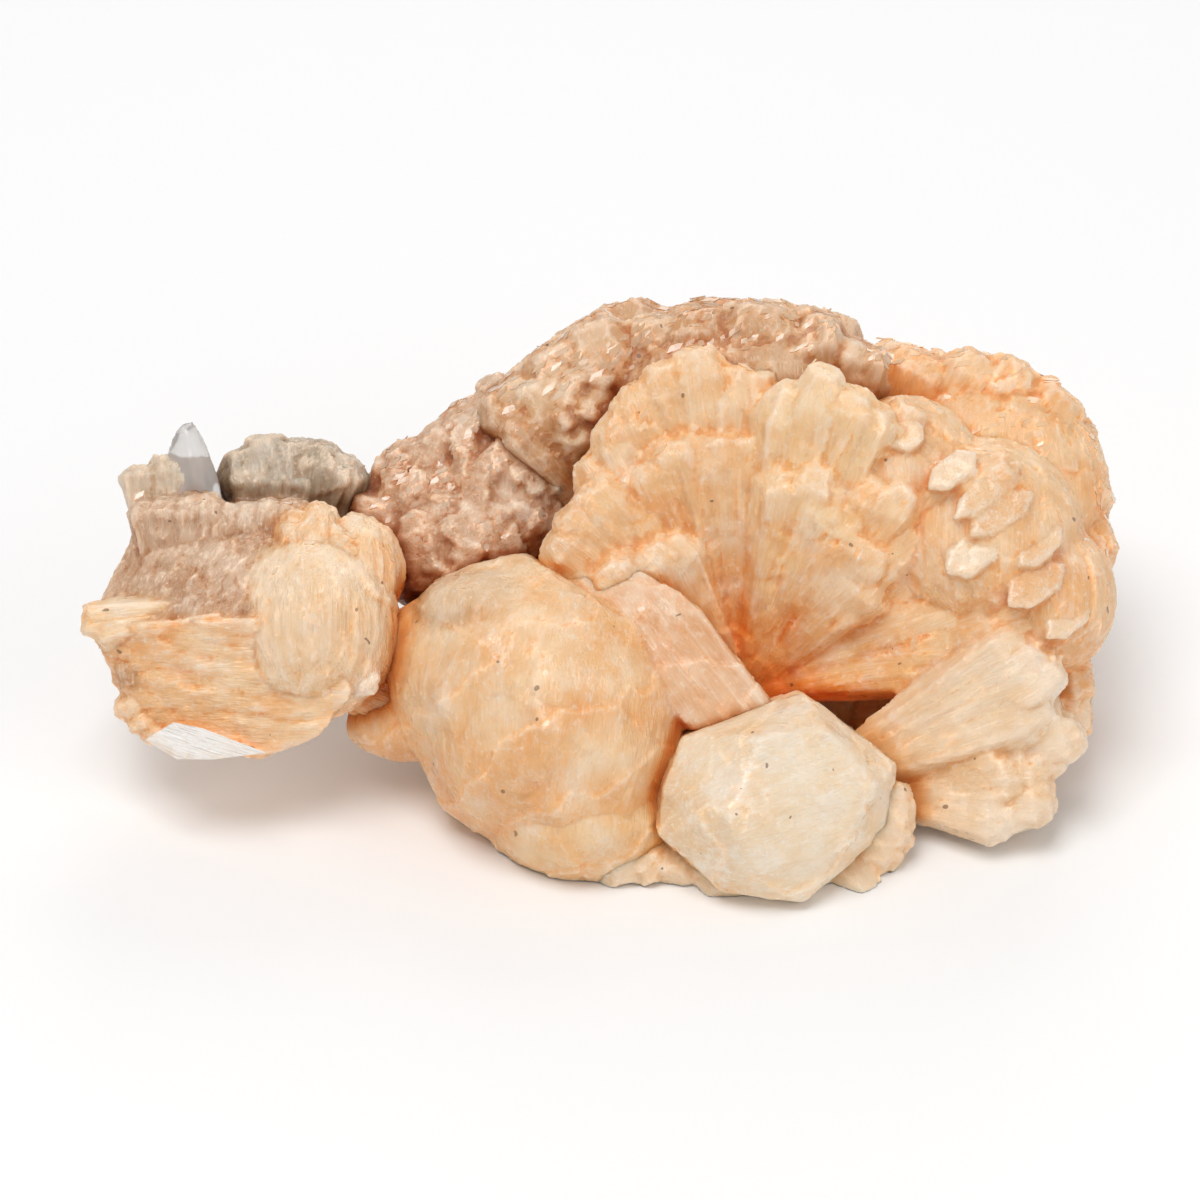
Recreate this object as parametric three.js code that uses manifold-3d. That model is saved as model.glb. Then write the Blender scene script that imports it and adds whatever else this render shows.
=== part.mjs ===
// A hand-size cluster of stilbite: sheaves of flat crystals that fan out from their roots and have grown
// together into one piece. Each crystal is a six-sided blade, narrow at its root and bevelled to a blunt
// roof at its tip. Each sheaf is one or more rows of blades that spread sideways and lean back row by row.
// Units are millimetres. The sheaves are laid out in the plane they are looked at in, x across, y up and
// z towards the viewer; the whole layout is then leaned back and cut flat where the cluster rests.
import * as THREE from "three";
import { mergeVertices } from "three/addons/utils/BufferGeometryUtils.js";
import Module from "manifold-3d";

// Driving dimensions.
const VIEW_ELEVATION = THREE.MathUtils.degToRad(35); // the layout plane faces a viewer this far above level
const STAND_HEIGHT = 21; // from the resting plane up to the layout's own origin
const CENTRE = { x: 1.12, y: 5.42 }; // from the layout's origin to the middle of the cluster's outline
const FLOOR_BLOCK = 200; // side of the block that cuts the resting face
const MERGE_TOLERANCE = 1e-4; // corners closer than this are one corner

// The blade's profile, as shares of its half width, and its bevel as a share of its width.
const BLADE_SIDES = 6;
const BLADE_ROOT = 0.3;
const BLADE_TOP = 0.55;
const BEVEL_LEAST = 0.22;
const BEVEL_RANGE = 0.3;

// How unlike each other the blades of one sheaf are.
const LENGTH_VARIATION = 0.1;
const ANGLE_VARIATION = 0.3; // of the pitch between two blades
const TWIST_VARIATION = THREE.MathUtils.degToRad(10);
const WIDTH_VARIATION = 0.3;
const ROW_STAGGER = 0.25; // of the pitch, one way in even rows and the other way in odd ones

// Low-discrepancy steps: fract(n * STEP + seed * SEED_STEP) fills the range from 0 to 1 evenly.
const STEPS = [0.618034, 0.754878, 0.56984, 0.819173];
const SEED_STEP = 0.377;

const PEACH = new THREE.MeshStandardMaterial({ color: 0xe6ae7c, roughness: 0.42, metalness: 0 });

const wasm = await Module();
wasm.setup();

function fract(value) {
  return value - Math.floor(value);
}

/** A number from 0 to 1 for the nth blade, one of four series. */
function varied(n, series, seed) {
  return fract((n + 1) * STEPS[series] + seed * SEED_STEP);
}

function solidOf(geometry) {
  const bare = geometry.clone();
  bare.deleteAttribute("normal");
  bare.deleteAttribute("uv");
  const merged = mergeVertices(bare, MERGE_TOLERANCE);
  return new wasm.Manifold(
    new wasm.Mesh({
      numProp: 3,
      vertProperties: new Float32Array(merged.attributes.position.array),
      triVerts: new Uint32Array(merged.index.array),
    }),
  );
}

/** A blade along +y from the origin, its broad faces towards +z and -z. */
function bladeGeometry(length, width, thick, bevel, top) {
  const profile = [
    new THREE.Vector2(0, 0),
    new THREE.Vector2(BLADE_ROOT, 0),
    new THREE.Vector2(1, length - bevel),
    new THREE.Vector2(top, length),
    new THREE.Vector2(0, length),
  ];
  const blade = new THREE.LatheGeometry(profile, BLADE_SIDES, Math.PI / 2);
  blade.scale(width / 2, 1, thick / 2);
  return blade;
}

/** Across, along and facing: the sheaf's own axes, as a turn from the blade's axes to the layout's. */
function sheafFrame(along, face) {
  const across = along.clone().cross(face).normalize();
  const facing = across.clone().cross(along).normalize();
  return new THREE.Matrix4().makeBasis(across, along, facing);
}

/**
 * The blades of one sheaf, as solids in the layout.
 * root and tip are the ends of its middle blade. Half of the fan's angle is spread, and lean is how far the
 * last row is tilted back, in degrees. base spreads the roots sideways, round shortens the outer blades and
 * rise lengthens the rows behind. uneven, point and top are the scatter of lengths, the steepness of the
 * tips and their blunt share. face is the way the broad faces look.
 */
function sheafBlades(sheaf) {
  const { seed, blades, rows = 1, spread = 0, lean = 0, base = 0, round = 0.08, rise = 0 } = sheaf;
  const { uneven = LENGTH_VARIATION, point = 1, top = BLADE_TOP, face = [0, 0, 1] } = sheaf;
  const root = new THREE.Vector3(...sheaf.root);
  const axis = new THREE.Vector3(...sheaf.tip).sub(root);
  const frame = sheafFrame(axis.clone().normalize(), new THREE.Vector3(...face));
  const halfFan = THREE.MathUtils.degToRad(spread);
  const pitch = (2 * halfFan) / blades;
  const stagger = rows > 1 ? ROW_STAGGER : 0;
  const solids = [];
  for (let row = 0; row < rows; row += 1) {
    const back = rows > 1 ? row / (rows - 1) : 0;
    for (let i = 0; i < blades; i += 1) {
      const n = row * blades + i;
      const place = ((i + 0.5 + (row % 2 ? stagger : -stagger)) / blades) * 2 - 1;
      const shorter = round * place * place + uneven * varied(n, 1, seed);
      const width = sheaf.width * (1 - WIDTH_VARIATION * (varied(n, 2, seed) - 0.5));
      const bevel = width * point * (BEVEL_LEAST + BEVEL_RANGE * varied(n, 3, seed));
      const reach = axis.length() * (1 + rise * back) * (1 - shorter);
      const blade = bladeGeometry(reach, width, sheaf.thick, bevel, top);
      blade.rotateY((varied(n, 3, seed + 1) - 0.5) * TWIST_VARIATION);
      blade.rotateX(-back * THREE.MathUtils.degToRad(lean));
      blade.rotateZ(-place * halfFan + (varied(n, 0, seed) - 0.5) * pitch * ANGLE_VARIATION);
      blade.translate(base * place, 0, 0);
      blade.applyMatrix4(frame);
      blade.translate(root.x, root.y, root.z);
      solids.push(solidOf(blade));
    }
  }
  return solids;
}

/** A rounded lump of crystal that the sheaves grow from. */
function lump({ centre, radii, detail }) {
  const ball = new THREE.IcosahedronGeometry(1, detail);
  ball.scale(...radii);
  ball.translate(...centre);
  return solidOf(ball);
}

// The bowl-shaped rosette: fans round one deep centre, clockwise from the left, then the ones in front.
const BOWL = [14.5, -9.5, -8];
const ROSETTE = [
  // Broad petal at the left.
  { root: BOWL, tip: [-4.6, 9.4, 3.5], spread: 18, blades: 4, width: 9, thick: 5, seed: 1 },
  { root: BOWL, tip: [0.5, 18.6, 2], spread: 9, blades: 2, width: 8.5, thick: 5, seed: 2 },
  // Tall petals at the top.
  { root: BOWL, tip: [8.6, 25.2, 3.5], spread: 15, blades: 5, width: 8.5, thick: 5, uneven: 0.06, seed: 3 },
  { root: BOWL, tip: [25, 22.5, 6.5], spread: 10, blades: 4, width: 7, thick: 7, uneven: 0.06, seed: 4 },
  { root: BOWL, tip: [30.5, 12, 5], spread: 11, blades: 3, width: 8, thick: 5, seed: 5 },
  // Rounded rim at the right, with blunt tips that face the viewer.
  { root: BOWL, tip: [35, 18.5, 3], spread: 8, blades: 3, width: 8, thick: 7, seed: 6 },
  { root: BOWL, tip: [42.5, 12.5, 4.5], spread: 8, blades: 3, width: 8.5, thick: 8, seed: 7 },
  { root: BOWL, tip: [46, 4.5, 3.5], spread: 8, blades: 3, width: 9, thick: 8, seed: 8 },
  { root: BOWL, tip: [42, -1, -1], spread: 12, blades: 4, width: 8, thick: 7, seed: 9 },
  // Pale lobe and stepped fans at the lower right.
  { root: [17, -15, -7], tip: [46, -5.4, 4], spread: 6, blades: 3, width: 7, thick: 8, seed: 10 },
  { root: [24, -16, -5], tip: [47.4, -11.6, 1], spread: 15, base: 2, blades: 4, width: 8, thick: 9, seed: 11 },
  { root: [20, -12, -12], tip: [51.5, -4.5, -5], spread: 15, blades: 4, width: 9, thick: 9, seed: 12 },
];

// The thick outer wall of the rosette, the lobe behind it at the right and the knot at its upper left.
const OUTER = [
  {
    ...{ root: [12, -6, -12], tip: [9, 30.8, -2], spread: 35, lean: 14, rows: 2, blades: 6 },
    ...{ width: 13, thick: 9, round: 0.02, uneven: 0.05, seed: 13 },
  },
  {
    ...{ root: [22, -6, -16], tip: [46.8, 22.2, -9], spread: 30, lean: 14, rows: 2, blades: 5 },
    ...{ width: 12.5, thick: 9, round: 0.16, uneven: 0.05, seed: 14 },
  },
  {
    ...{ root: [4, 4, -9], tip: [-4.4, 24, -1], spread: 22, lean: 16, rows: 2, blades: 3 },
    ...{ width: 7, thick: 6, seed: 15 },
  },
];

// The dull crust to the left of the rosette, in small overlapping fans.
const CRUST = [
  { root: [2, 2, -15], tip: [-13, 21.6, -8], spread: 22, blades: 4, width: 8, thick: 7, seed: 16 },
  { root: [0, 0, -14], tip: [-20.5, 16.2, -7], spread: 16, blades: 3, width: 8, thick: 7, seed: 17 },
  { root: [0, -3, -13], tip: [-25.5, 10.4, -7], spread: 15, blades: 3, width: 8, thick: 8, seed: 18 },
  { root: [0, -2, -10], tip: [-12, 12, -2], spread: 30, blades: 3, width: 8.5, thick: 8, seed: 19 },
  { root: [0, -5, -9], tip: [-20.4, 2.6, -2], spread: 24, blades: 4, width: 8.5, thick: 8, seed: 20 },
];

// The rounded sheaf in front, the wedge and the block beside it, and the low fans under them.
const FRONT = [
  {
    ...{ root: [5, -3, -14], tip: [-5, -10, 13.4], spread: 32, lean: 36, rise: 0.04, rows: 2, blades: 4 },
    ...{ width: 15, thick: 15, round: 0.05, uneven: 0.03, point: 0.4, top: 0.8, seed: 21 },
  },
  {
    ...{ root: [-5, 4, -6], tip: [15.5, -10, 2.5], spread: 8, base: 3, lean: 6, rows: 2, blades: 3 },
    ...{ width: 8, thick: 6, round: 0, seed: 22 },
  },
  {
    ...{ root: [15, -14, -10], tip: [17.6, -19.3, 13], face: [1, 0, 0], blades: 1 },
    ...{ width: 21, thick: 27, uneven: 0, point: 0.7, top: 0.75, seed: 23 },
  },
  {
    ...{ root: [13, -12, -7], tip: [11, -29.2, 9], spread: 46, blades: 7 },
    ...{ width: 11, thick: 15, round: -0.2, seed: 25 },
  },
];

// The sheaf on the left with its small crystals, and the neck that joins it on.
const LEFT = [
  {
    ...{ root: [-47.5, -8.8, -3], tip: [-19.5, -3.6, 1], spread: 12, base: 3, lean: 16, rows: 2, blades: 4 },
    ...{ width: 9.5, thick: 12, round: 0.1, uneven: 0.05, point: 0.8, seed: 26 },
  },
  {
    ...{ root: [-32, -6.4, -2], tip: [-55, -3.4, 1], spread: 6, blades: 2 },
    ...{ width: 8, thick: 10, top: 0.35, uneven: 0.14, seed: 35 },
  },
  { root: [-36, -6, -2], tip: [-46.6, 8, 0], spread: 12, blades: 2, width: 7.5, thick: 8, seed: 39 },
  {
    ...{ root: [-38, -5, -1], tip: [-36, 10.8, 2], spread: 14, base: 5, blades: 4 },
    ...{ width: 7.5, thick: 8, round: 0, uneven: 0.04, seed: 27 },
  },
  { root: [-34, -6, -2], tip: [-25.4, 8.8, 1], spread: 16, blades: 3, width: 7, thick: 9, seed: 28 },
  // Small crystals behind, one of them clear and pointed.
  {
    ...{ root: [-43, -7, -4], tip: [-44, 15, -5], spread: 7, base: 1.5, blades: 2 },
    ...{ width: 6, thick: 6, uneven: 0.03, seed: 29 },
  },
  { root: [-40, -5, -4], tip: [-41.4, 18.6, -4.6], blades: 1, width: 5, thick: 4, top: 0.3, point: 2, seed: 30 },
  { root: [-32, -2, -9], tip: [-31, 17.2, -6], spread: 20, blades: 3, width: 9.5, thick: 8, seed: 31 },
  // Bright plate below, neck and nub.
  { root: [-33, -12.4, -1], tip: [-45, -14.6, 3.5], blades: 1, width: 6, thick: 5, seed: 32 },
  { root: [-32, -6, -4], tip: [-16, -12.4, -4], spread: 10, blades: 2, width: 7, thick: 7, seed: 33 },
  { root: [-26, -6, 0], tip: [-22.4, -8.8, 3.5], blades: 1, width: 3.8, thick: 3.4, seed: 34 },
];

// The fans round the far side, which finish the cluster where it faces away.
const BACK = [
  {
    ...{ root: [8, -4, -14], tip: [-12, 14, -23], spread: 24, lean: 50, rows: 2, blades: 3 },
    ...{ width: 13, thick: 12, round: 0.1, seed: 36 },
  },
  {
    ...{ root: [14, -4, -14], tip: [15, 22, -23], spread: 34, lean: 64, rows: 3, blades: 3 },
    ...{ width: 18, thick: 14, seed: 37 },
  },
  {
    ...{ root: [22, -4, -14], tip: [43, 8, -23], spread: 26, lean: 50, rows: 2, blades: 3 },
    ...{ width: 14, thick: 13, round: 0.1, seed: 38 },
  },
];

const GROUPS = [ROSETTE, OUTER, CRUST, FRONT, LEFT, BACK];

// The masses inside the rosette, the crust, the low fans and the left sheaf, and the front sheaf's dome.
const CORE = [
  { centre: [14, -6, -16], radii: [26, 19, 15], detail: 1 },
  { centre: [-11, 2, -10], radii: [8, 8, 6], detail: 1 },
  { centre: [12, -20, -6], radii: [14, 9, 10], detail: 1 },
  { centre: [-38, -5, -3], radii: [9, 6.5, 4.5], detail: 1 },
  { centre: [-5.4, -11.2, -1], radii: [15.6, 15.8, 14], detail: 2 },
];

/** Joins solids two by two, which keeps each step small. */
function joined(solids) {
  let list = solids;
  while (list.length > 1) {
    const next = [];
    for (let i = 0; i < list.length; i += 2) {
      next.push(i + 1 < list.length ? list[i].add(list[i + 1]) : list[i]);
    }
    list = next;
  }
  return list[0];
}

function geometryOf(solid) {
  const mesh = solid.getMesh();
  return new THREE.BufferGeometry()
    .setAttribute("position", new THREE.BufferAttribute(mesh.vertProperties, 3))
    .setIndex(new THREE.BufferAttribute(mesh.triVerts, 1));
}

/** The layout leaned back over the resting plane, which is z = 0. */
function stood(solid) {
  const geometry = geometryOf(solid);
  geometry.rotateX(Math.PI / 2 - VIEW_ELEVATION);
  geometry.translate(-CENTRE.x, -CENTRE.y, STAND_HEIGHT);
  return solidOf(geometry);
}

function cluster() {
  const blades = GROUPS.flat().flatMap(sheafBlades);
  const grown = joined([...blades, ...CORE.map(lump)]);
  const floor = new THREE.BoxGeometry(FLOOR_BLOCK, FLOOR_BLOCK, FLOOR_BLOCK).translate(0, 0, -FLOOR_BLOCK / 2);
  const rested = stood(grown).subtract(solidOf(floor));
  const geometry = geometryOf(rested).toNonIndexed();
  geometry.computeVertexNormals();
  const mesh = new THREE.Mesh(geometry, PEACH);
  mesh.name = "stilbite_cluster";
  return mesh;
}

const stilbite = new THREE.Group();
stilbite.add(cluster());

export default stilbite;
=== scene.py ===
"""The looks of a peach stilbite cluster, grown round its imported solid.

The crystals are laid out in the upright plane that faces the camera: x to the right, y up and z towards the
camera, in millimetres. The whole cluster then leans back and rests on its flat cut.
"""

import logging
import math
from dataclasses import dataclass, field
from enum import Enum
from typing import Any, Optional, Sequence

import bmesh
import bpy
from mathutils import Euler, Matrix, Vector


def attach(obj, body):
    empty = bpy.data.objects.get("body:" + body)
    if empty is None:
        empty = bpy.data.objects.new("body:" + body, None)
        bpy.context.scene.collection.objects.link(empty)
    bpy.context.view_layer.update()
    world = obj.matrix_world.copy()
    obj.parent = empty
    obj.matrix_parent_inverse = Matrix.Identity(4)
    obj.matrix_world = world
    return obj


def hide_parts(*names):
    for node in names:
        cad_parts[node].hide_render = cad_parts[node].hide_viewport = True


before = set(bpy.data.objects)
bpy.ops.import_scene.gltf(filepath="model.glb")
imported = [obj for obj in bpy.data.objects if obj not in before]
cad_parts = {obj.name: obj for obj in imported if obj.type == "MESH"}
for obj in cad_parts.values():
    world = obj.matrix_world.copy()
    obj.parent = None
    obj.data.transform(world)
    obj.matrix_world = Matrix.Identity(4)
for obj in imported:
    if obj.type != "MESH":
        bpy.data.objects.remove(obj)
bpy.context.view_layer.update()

log = logging.getLogger("stilbite")

Point = tuple[float, float, float]
Colour = tuple[float, float, float]

# Frame of the layout
MM = 0.001
VIEW_ELEVATION = math.radians(35)
CENTRE = (1.12, 5.42)
STAND_HEIGHT = 21.0
REST_GAP = 0.05

# Camera
TARGET = (-0.00112, -0.00542, 0.021)
CAMERA_DISTANCE = 0.45
LENS = 135.0
SENSOR = 36.0

# Shape of a blade
BLADE_SIDES = 6
BLADE_RINGS = 4
BLADE_ROOT = 0.3
BEVEL_RANGE = (0.22, 0.52)
WIDTH_VARIATION = 0.3
ANGLE_VARIATION = 0.3
TWIST_VARIATION = math.radians(10)
ROW_STAGGER = 0.25
STEPS = (0.618034, 0.754878, 0.56984, 0.819173)
SEED_STEP = 0.377

# Fine relief
LINE_STRETCH = 0.12
FACET_STEP = 0.5
STEP_BEND = 1.6
STEP_BEND_SCALE = 90.0
EDGE_ROUNDS = 8
CLUMP_SCALE = 350.0
GLINT_SHEAR = 0.4
FINE_SIZES = (
    "Reach", "Striation", "Blade tilt", "Facet size", "Facet tilt", "Wave", "Wave size", "Step height",
    "Step size",
)

# Shelter rays
SHELTER_RAYS = 14
SHELTER_LIFT = 0.4
GOLDEN_ANGLE = math.radians(137.508)


class Tint(Enum):
    """Body colours of the stone, as linear light. On the left sheaf's plate, SNOW is painted light thrown
    up from the floor.
    """

    PEACH = (0.84, 0.45, 0.19)
    ORANGE = (0.84, 0.40, 0.13)
    YELLOW = (0.86, 0.50, 0.22)
    PINK = (0.76, 0.40, 0.20)
    PALE = (0.84, 0.56, 0.32)
    TAN = (0.56, 0.27, 0.11)
    DULL = (0.56, 0.29, 0.15)
    ROSE = (0.52, 0.29, 0.16)
    MILK = (0.86, 0.62, 0.38)
    WHITE = (0.90, 0.76, 0.62)
    SNOW = (0.98, 0.95, 0.92)
    OLIVE = (0.44, 0.34, 0.24)
    BEIGE = (0.62, 0.48, 0.34)
    OCHRE = (0.66, 0.38, 0.18)
    RUST = (0.45, 0.20, 0.08)


@dataclass(frozen=True)
class Sheaf:
    """Blades that grow from one root and open like a fan. Lengths are in millimetres, angles in degrees."""

    root: Point
    tip: Point
    seed: float
    blades: int = 1
    rows: int = 1
    width: float = 6.0
    thick: float = 6.0
    spread: float = 0.0
    lean: float = 0.0
    base: float = 0.0
    rise: float = 0.0
    rounded: float = 0.08
    uneven: float = 0.1
    point: float = 1.0
    top: float = 0.55
    bow: float = 0.0
    face: Point = (0.0, 0.0, 1.0)
    tint: Tint = Tint.PEACH
    gloss: float = 0.0

    def length(self) -> float:
        """Gives the distance from root to tip."""
        return (Vector(self.tip) - Vector(self.root)).length

    def stand(self) -> Matrix:
        """Gives the turn and shift that put a fan grown along +Y at its place in the layout.

        Returns:
            The matrix, in millimetres.
        """
        along = (Vector(self.tip) - Vector(self.root)).normalized()
        across = along.cross(Vector(self.face)).normalized()
        facing = across.cross(along)
        turn = Matrix((across, along, facing)).transposed().to_4x4()
        return Matrix.Translation(Vector(self.root)) @ turn


@dataclass(frozen=True)
class Lump:
    """A rounded mass that fills the cluster between its sheaves. Lengths are in millimetres."""

    centre: Point
    radii: Point
    tint: Tint = Tint.PEACH


@dataclass(frozen=True)
class Burr:
    """A rounded mass whose skin is the ends of short blades. In millimetres and degrees."""

    centre: Point
    radii: Point
    seed: float
    count: int = 60
    width: float = 8.0
    flatness: float = 0.8
    depth: float = 6.0
    stand: float = 0.8
    tilt: float = 5.0
    point: float = 0.3
    top: float = 0.8
    tint: Tint = Tint.PEACH


@dataclass(frozen=True)
class Crystal:
    """One crystal given by its corners, in millimetres."""

    corners: tuple[Point, ...]
    tint: Tint = Tint.PEACH
    along: Point = (0.0, 1.0, 0.0)


class NodeSheet:
    """Writes a node tree line by line."""

    def __init__(self, tree: bpy.types.NodeTree) -> None:
        """Starts on an empty tree."""
        self.tree = tree

    def feed(self, socket: bpy.types.NodeSocket, value: Any) -> None:
        """Links a socket into another, or sets the value that it holds.

        Args:
            socket: The input to fill.
            value: A socket, or a plain value.
        """
        if isinstance(value, bpy.types.NodeSocket):
            self.tree.links.new(value, socket)
        else:
            socket.default_value = value

    def node(self, kind: str, inputs: Optional[dict] = None, **settings: Any) -> bpy.types.Node:
        """Adds one node.

        Args:
            kind: The node's type.
            inputs: Values or sockets by input name or number.
            settings: The node's own properties.

        Returns:
            The new node.
        """
        made = self.tree.nodes.new(kind)
        for name, value in settings.items():
            setattr(made, name, value)
        for key, value in (inputs or {}).items():
            self.feed(made.inputs[key], value)
        return made

    def math(self, operation: str, *values: Any) -> bpy.types.NodeSocket:
        """Adds a sum on numbers.

        Args:
            operation: The kind of sum.
            values: Its operands.

        Returns:
            The result's socket.
        """
        return self.node("ShaderNodeMath", dict(enumerate(values)), operation=operation).outputs[0]

    def plus(self, first: Any, second: Any) -> bpy.types.NodeSocket:
        """Adds two numbers."""
        return self.math("ADD", first, second)

    def minus(self, first: Any, second: Any) -> bpy.types.NodeSocket:
        """Takes the second number from the first."""
        return self.math("SUBTRACT", first, second)

    def times(self, first: Any, second: Any) -> bpy.types.NodeSocket:
        """Multiplies two numbers."""
        return self.math("MULTIPLY", first, second)

    def over(self, first: Any, second: Any) -> bpy.types.NodeSocket:
        """Divides the first number by the second."""
        return self.math("DIVIDE", first, second)

    def times_plus(self, first: Any, second: Any, third: Any) -> bpy.types.NodeSocket:
        """Multiplies two numbers and adds the third."""
        return self.math("MULTIPLY_ADD", first, second, third)

    def vector_math(self, operation: str, *values: Any) -> bpy.types.NodeSocket:
        """Adds a sum on vectors.

        Args:
            operation: The kind of sum.
            values: Its operands.

        Returns:
            The result's socket.
        """
        made = self.node("ShaderNodeVectorMath", dict(enumerate(values)), operation=operation)
        return made.outputs[1] if operation in ("DOT_PRODUCT", "LENGTH") else made.outputs[0]

    def scaled(self, vector: Any, factor: Any) -> bpy.types.NodeSocket:
        """Multiplies a vector by a number."""
        return self.node("ShaderNodeVectorMath", {0: vector, "Scale": factor}, operation="SCALE").outputs[0]

    def vector(self, x: Any, y: Any, z: Any) -> bpy.types.NodeSocket:
        """Joins three numbers into a vector."""
        return self.node("ShaderNodeCombineXYZ", {0: x, 1: y, 2: z}).outputs[0]

    def parts(self, vector: Any) -> tuple:
        """Splits a vector into its three numbers."""
        return tuple(self.node("ShaderNodeSeparateXYZ", {0: vector}).outputs)

    def blend(self, low: Any, high: Any, share: Any) -> bpy.types.NodeSocket:
        """Gives low where share is 0 and high where it is 1."""
        span = self.minus(high, low)
        return self.times_plus(span, share, low)

    def noise(self, vector: Any, scale: float, detail: float = 2.0,
              roughness: float = 0.5) -> bpy.types.NodeSocket:
        """Adds cloudy noise.

        Args:
            vector: Where it is read.
            scale: How fine it is, per unit of the vector.
            detail: How many finer layers it has.
            roughness: How strong those are.

        Returns:
            Its value, mostly between 0.2 and 0.8.
        """
        inputs = {"Vector": vector, "Scale": scale, "Detail": detail, "Roughness": roughness}
        return self.node("ShaderNodeTexNoise", inputs).outputs[0]

    def ramp(self, value: Any, low: float, high: float, start: float = 0.0,
             end: float = 1.0) -> bpy.types.NodeSocket:
        """Maps a number from one range to another, held at the ends."""
        inputs = {0: value, 1: low, 2: high, 3: start, 4: end}
        return self.node("ShaderNodeMapRange", inputs, clamp=True,
                         interpolation_type="SMOOTHSTEP").outputs[0]


class Recipe(NodeSheet):
    """A geometry node tree with named inputs for its sizes."""

    def __init__(self, name: str) -> None:
        """Makes an empty tree that takes and gives geometry."""
        super().__init__(bpy.data.node_groups.new(name, "GeometryNodeTree"))
        self.tree.interface.new_socket("Geometry", in_out="INPUT", socket_type="NodeSocketGeometry")
        self.tree.interface.new_socket("Geometry", in_out="OUTPUT", socket_type="NodeSocketGeometry")
        self.keys: dict[str, str] = {}
        self.start = self.tree.nodes.new("NodeGroupInput")
        self.end = self.tree.nodes.new("NodeGroupOutput")

    def size(self, name: str, kind: str = "Float") -> bpy.types.NodeSocket:
        """Adds a named input to the tree.

        Args:
            name: The input's name.
            kind: What it holds, such as Float, Int, Vector, Object or Material.

        Returns:
            The socket that gives its value inside the tree.
        """
        item = self.tree.interface.new_socket(name, in_out="INPUT", socket_type="NodeSocket" + kind)
        self.keys[name] = item.identifier
        return self.start.outputs[name]

    def sizes(self, *names: str) -> list[bpy.types.NodeSocket]:
        """Adds several named inputs that hold numbers."""
        return [self.size(name) for name in names]

    def named(self, name: str, data_type: str = "FLOAT") -> bpy.types.NodeSocket:
        """Reads a stored attribute."""
        return self.node("GeometryNodeInputNamedAttribute", {"Name": name}, data_type=data_type).outputs[0]

    def store(self, geometry: Any, name: str, value: Any, data_type: str = "FLOAT") -> bpy.types.NodeSocket:
        """Stores an attribute on points.

        Args:
            geometry: The geometry that gets it.
            name: Its name.
            value: Its value.
            data_type: Its kind.

        Returns:
            The geometry with the attribute.
        """
        inputs = {"Geometry": geometry, "Name": name, "Value": value}
        made = self.node("GeometryNodeStoreNamedAttribute", inputs, data_type=data_type, domain="POINT")
        return made.outputs[0]

    def position(self) -> bpy.types.NodeSocket:
        """Reads each point's place."""
        return self.node("GeometryNodeInputPosition").outputs[0]

    def close(self, geometry: Any) -> None:
        """Ends the tree on this geometry."""
        self.tree.links.new(geometry, self.end.inputs[0])

    def grow(self, start: bpy.types.Object, values: dict) -> bpy.types.Mesh:
        """Runs the tree on an object and gives the result as a plain mesh.

        Args:
            start: The object that the tree begins from.
            values: The inputs' values by name.

        Returns:
            The finished mesh.
        """
        modifier = start.modifiers.new(self.tree.name, "NODES")
        modifier.node_group = self.tree
        for name, value in values.items():
            modifier[self.keys[name]] = value
        mesh = plain_mesh(start)
        start.modifiers.remove(modifier)
        return mesh


def plain_mesh(thing: bpy.types.Object) -> bpy.types.Mesh:
    """Turns an object with its modifiers into a plain mesh.

    Args:
        thing: The object to evaluate.

    Returns:
        The evaluated mesh, with its attributes.
    """
    graph = bpy.context.evaluated_depsgraph_get()
    seen = thing.evaluated_get(graph)
    return bpy.data.meshes.new_from_object(seen, preserve_all_data_layers=True, depsgraph=graph)


def shown(mesh: bpy.types.Mesh, name: str) -> bpy.types.Object:
    """Puts a mesh in the scene.

    Args:
        mesh: The mesh.
        name: The object's name.

    Returns:
        The new object, at the origin.
    """
    thing = bpy.data.objects.new(name, mesh)
    bpy.context.scene.collection.objects.link(thing)
    return thing


def joined(parts: Sequence[bpy.types.Object], name: str) -> bpy.types.Object:
    """Joins objects into one, with their attributes.

    Args:
        parts: The objects. They end in the first.
        name: The name of the result.

    Returns:
        The joined object.
    """
    if len(parts) > 1:
        with bpy.context.temp_override(active_object=parts[0], selected_editable_objects=list(parts)):
            bpy.ops.object.join()
    parts[0].name = name
    return parts[0]


def standing() -> Matrix:
    """Gives the lean and shift that take the layout to the cluster's place in the frame.

    Returns:
        The matrix from layout millimetres to metres.
    """
    shift = Matrix.Translation(Vector((-CENTRE[0], -CENTRE[1], STAND_HEIGHT)) * MM)
    lean = Matrix.Rotation(math.radians(90) - VIEW_ELEVATION, 4, "X")
    return shift @ lean @ Matrix.Scale(MM, 4)


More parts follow.
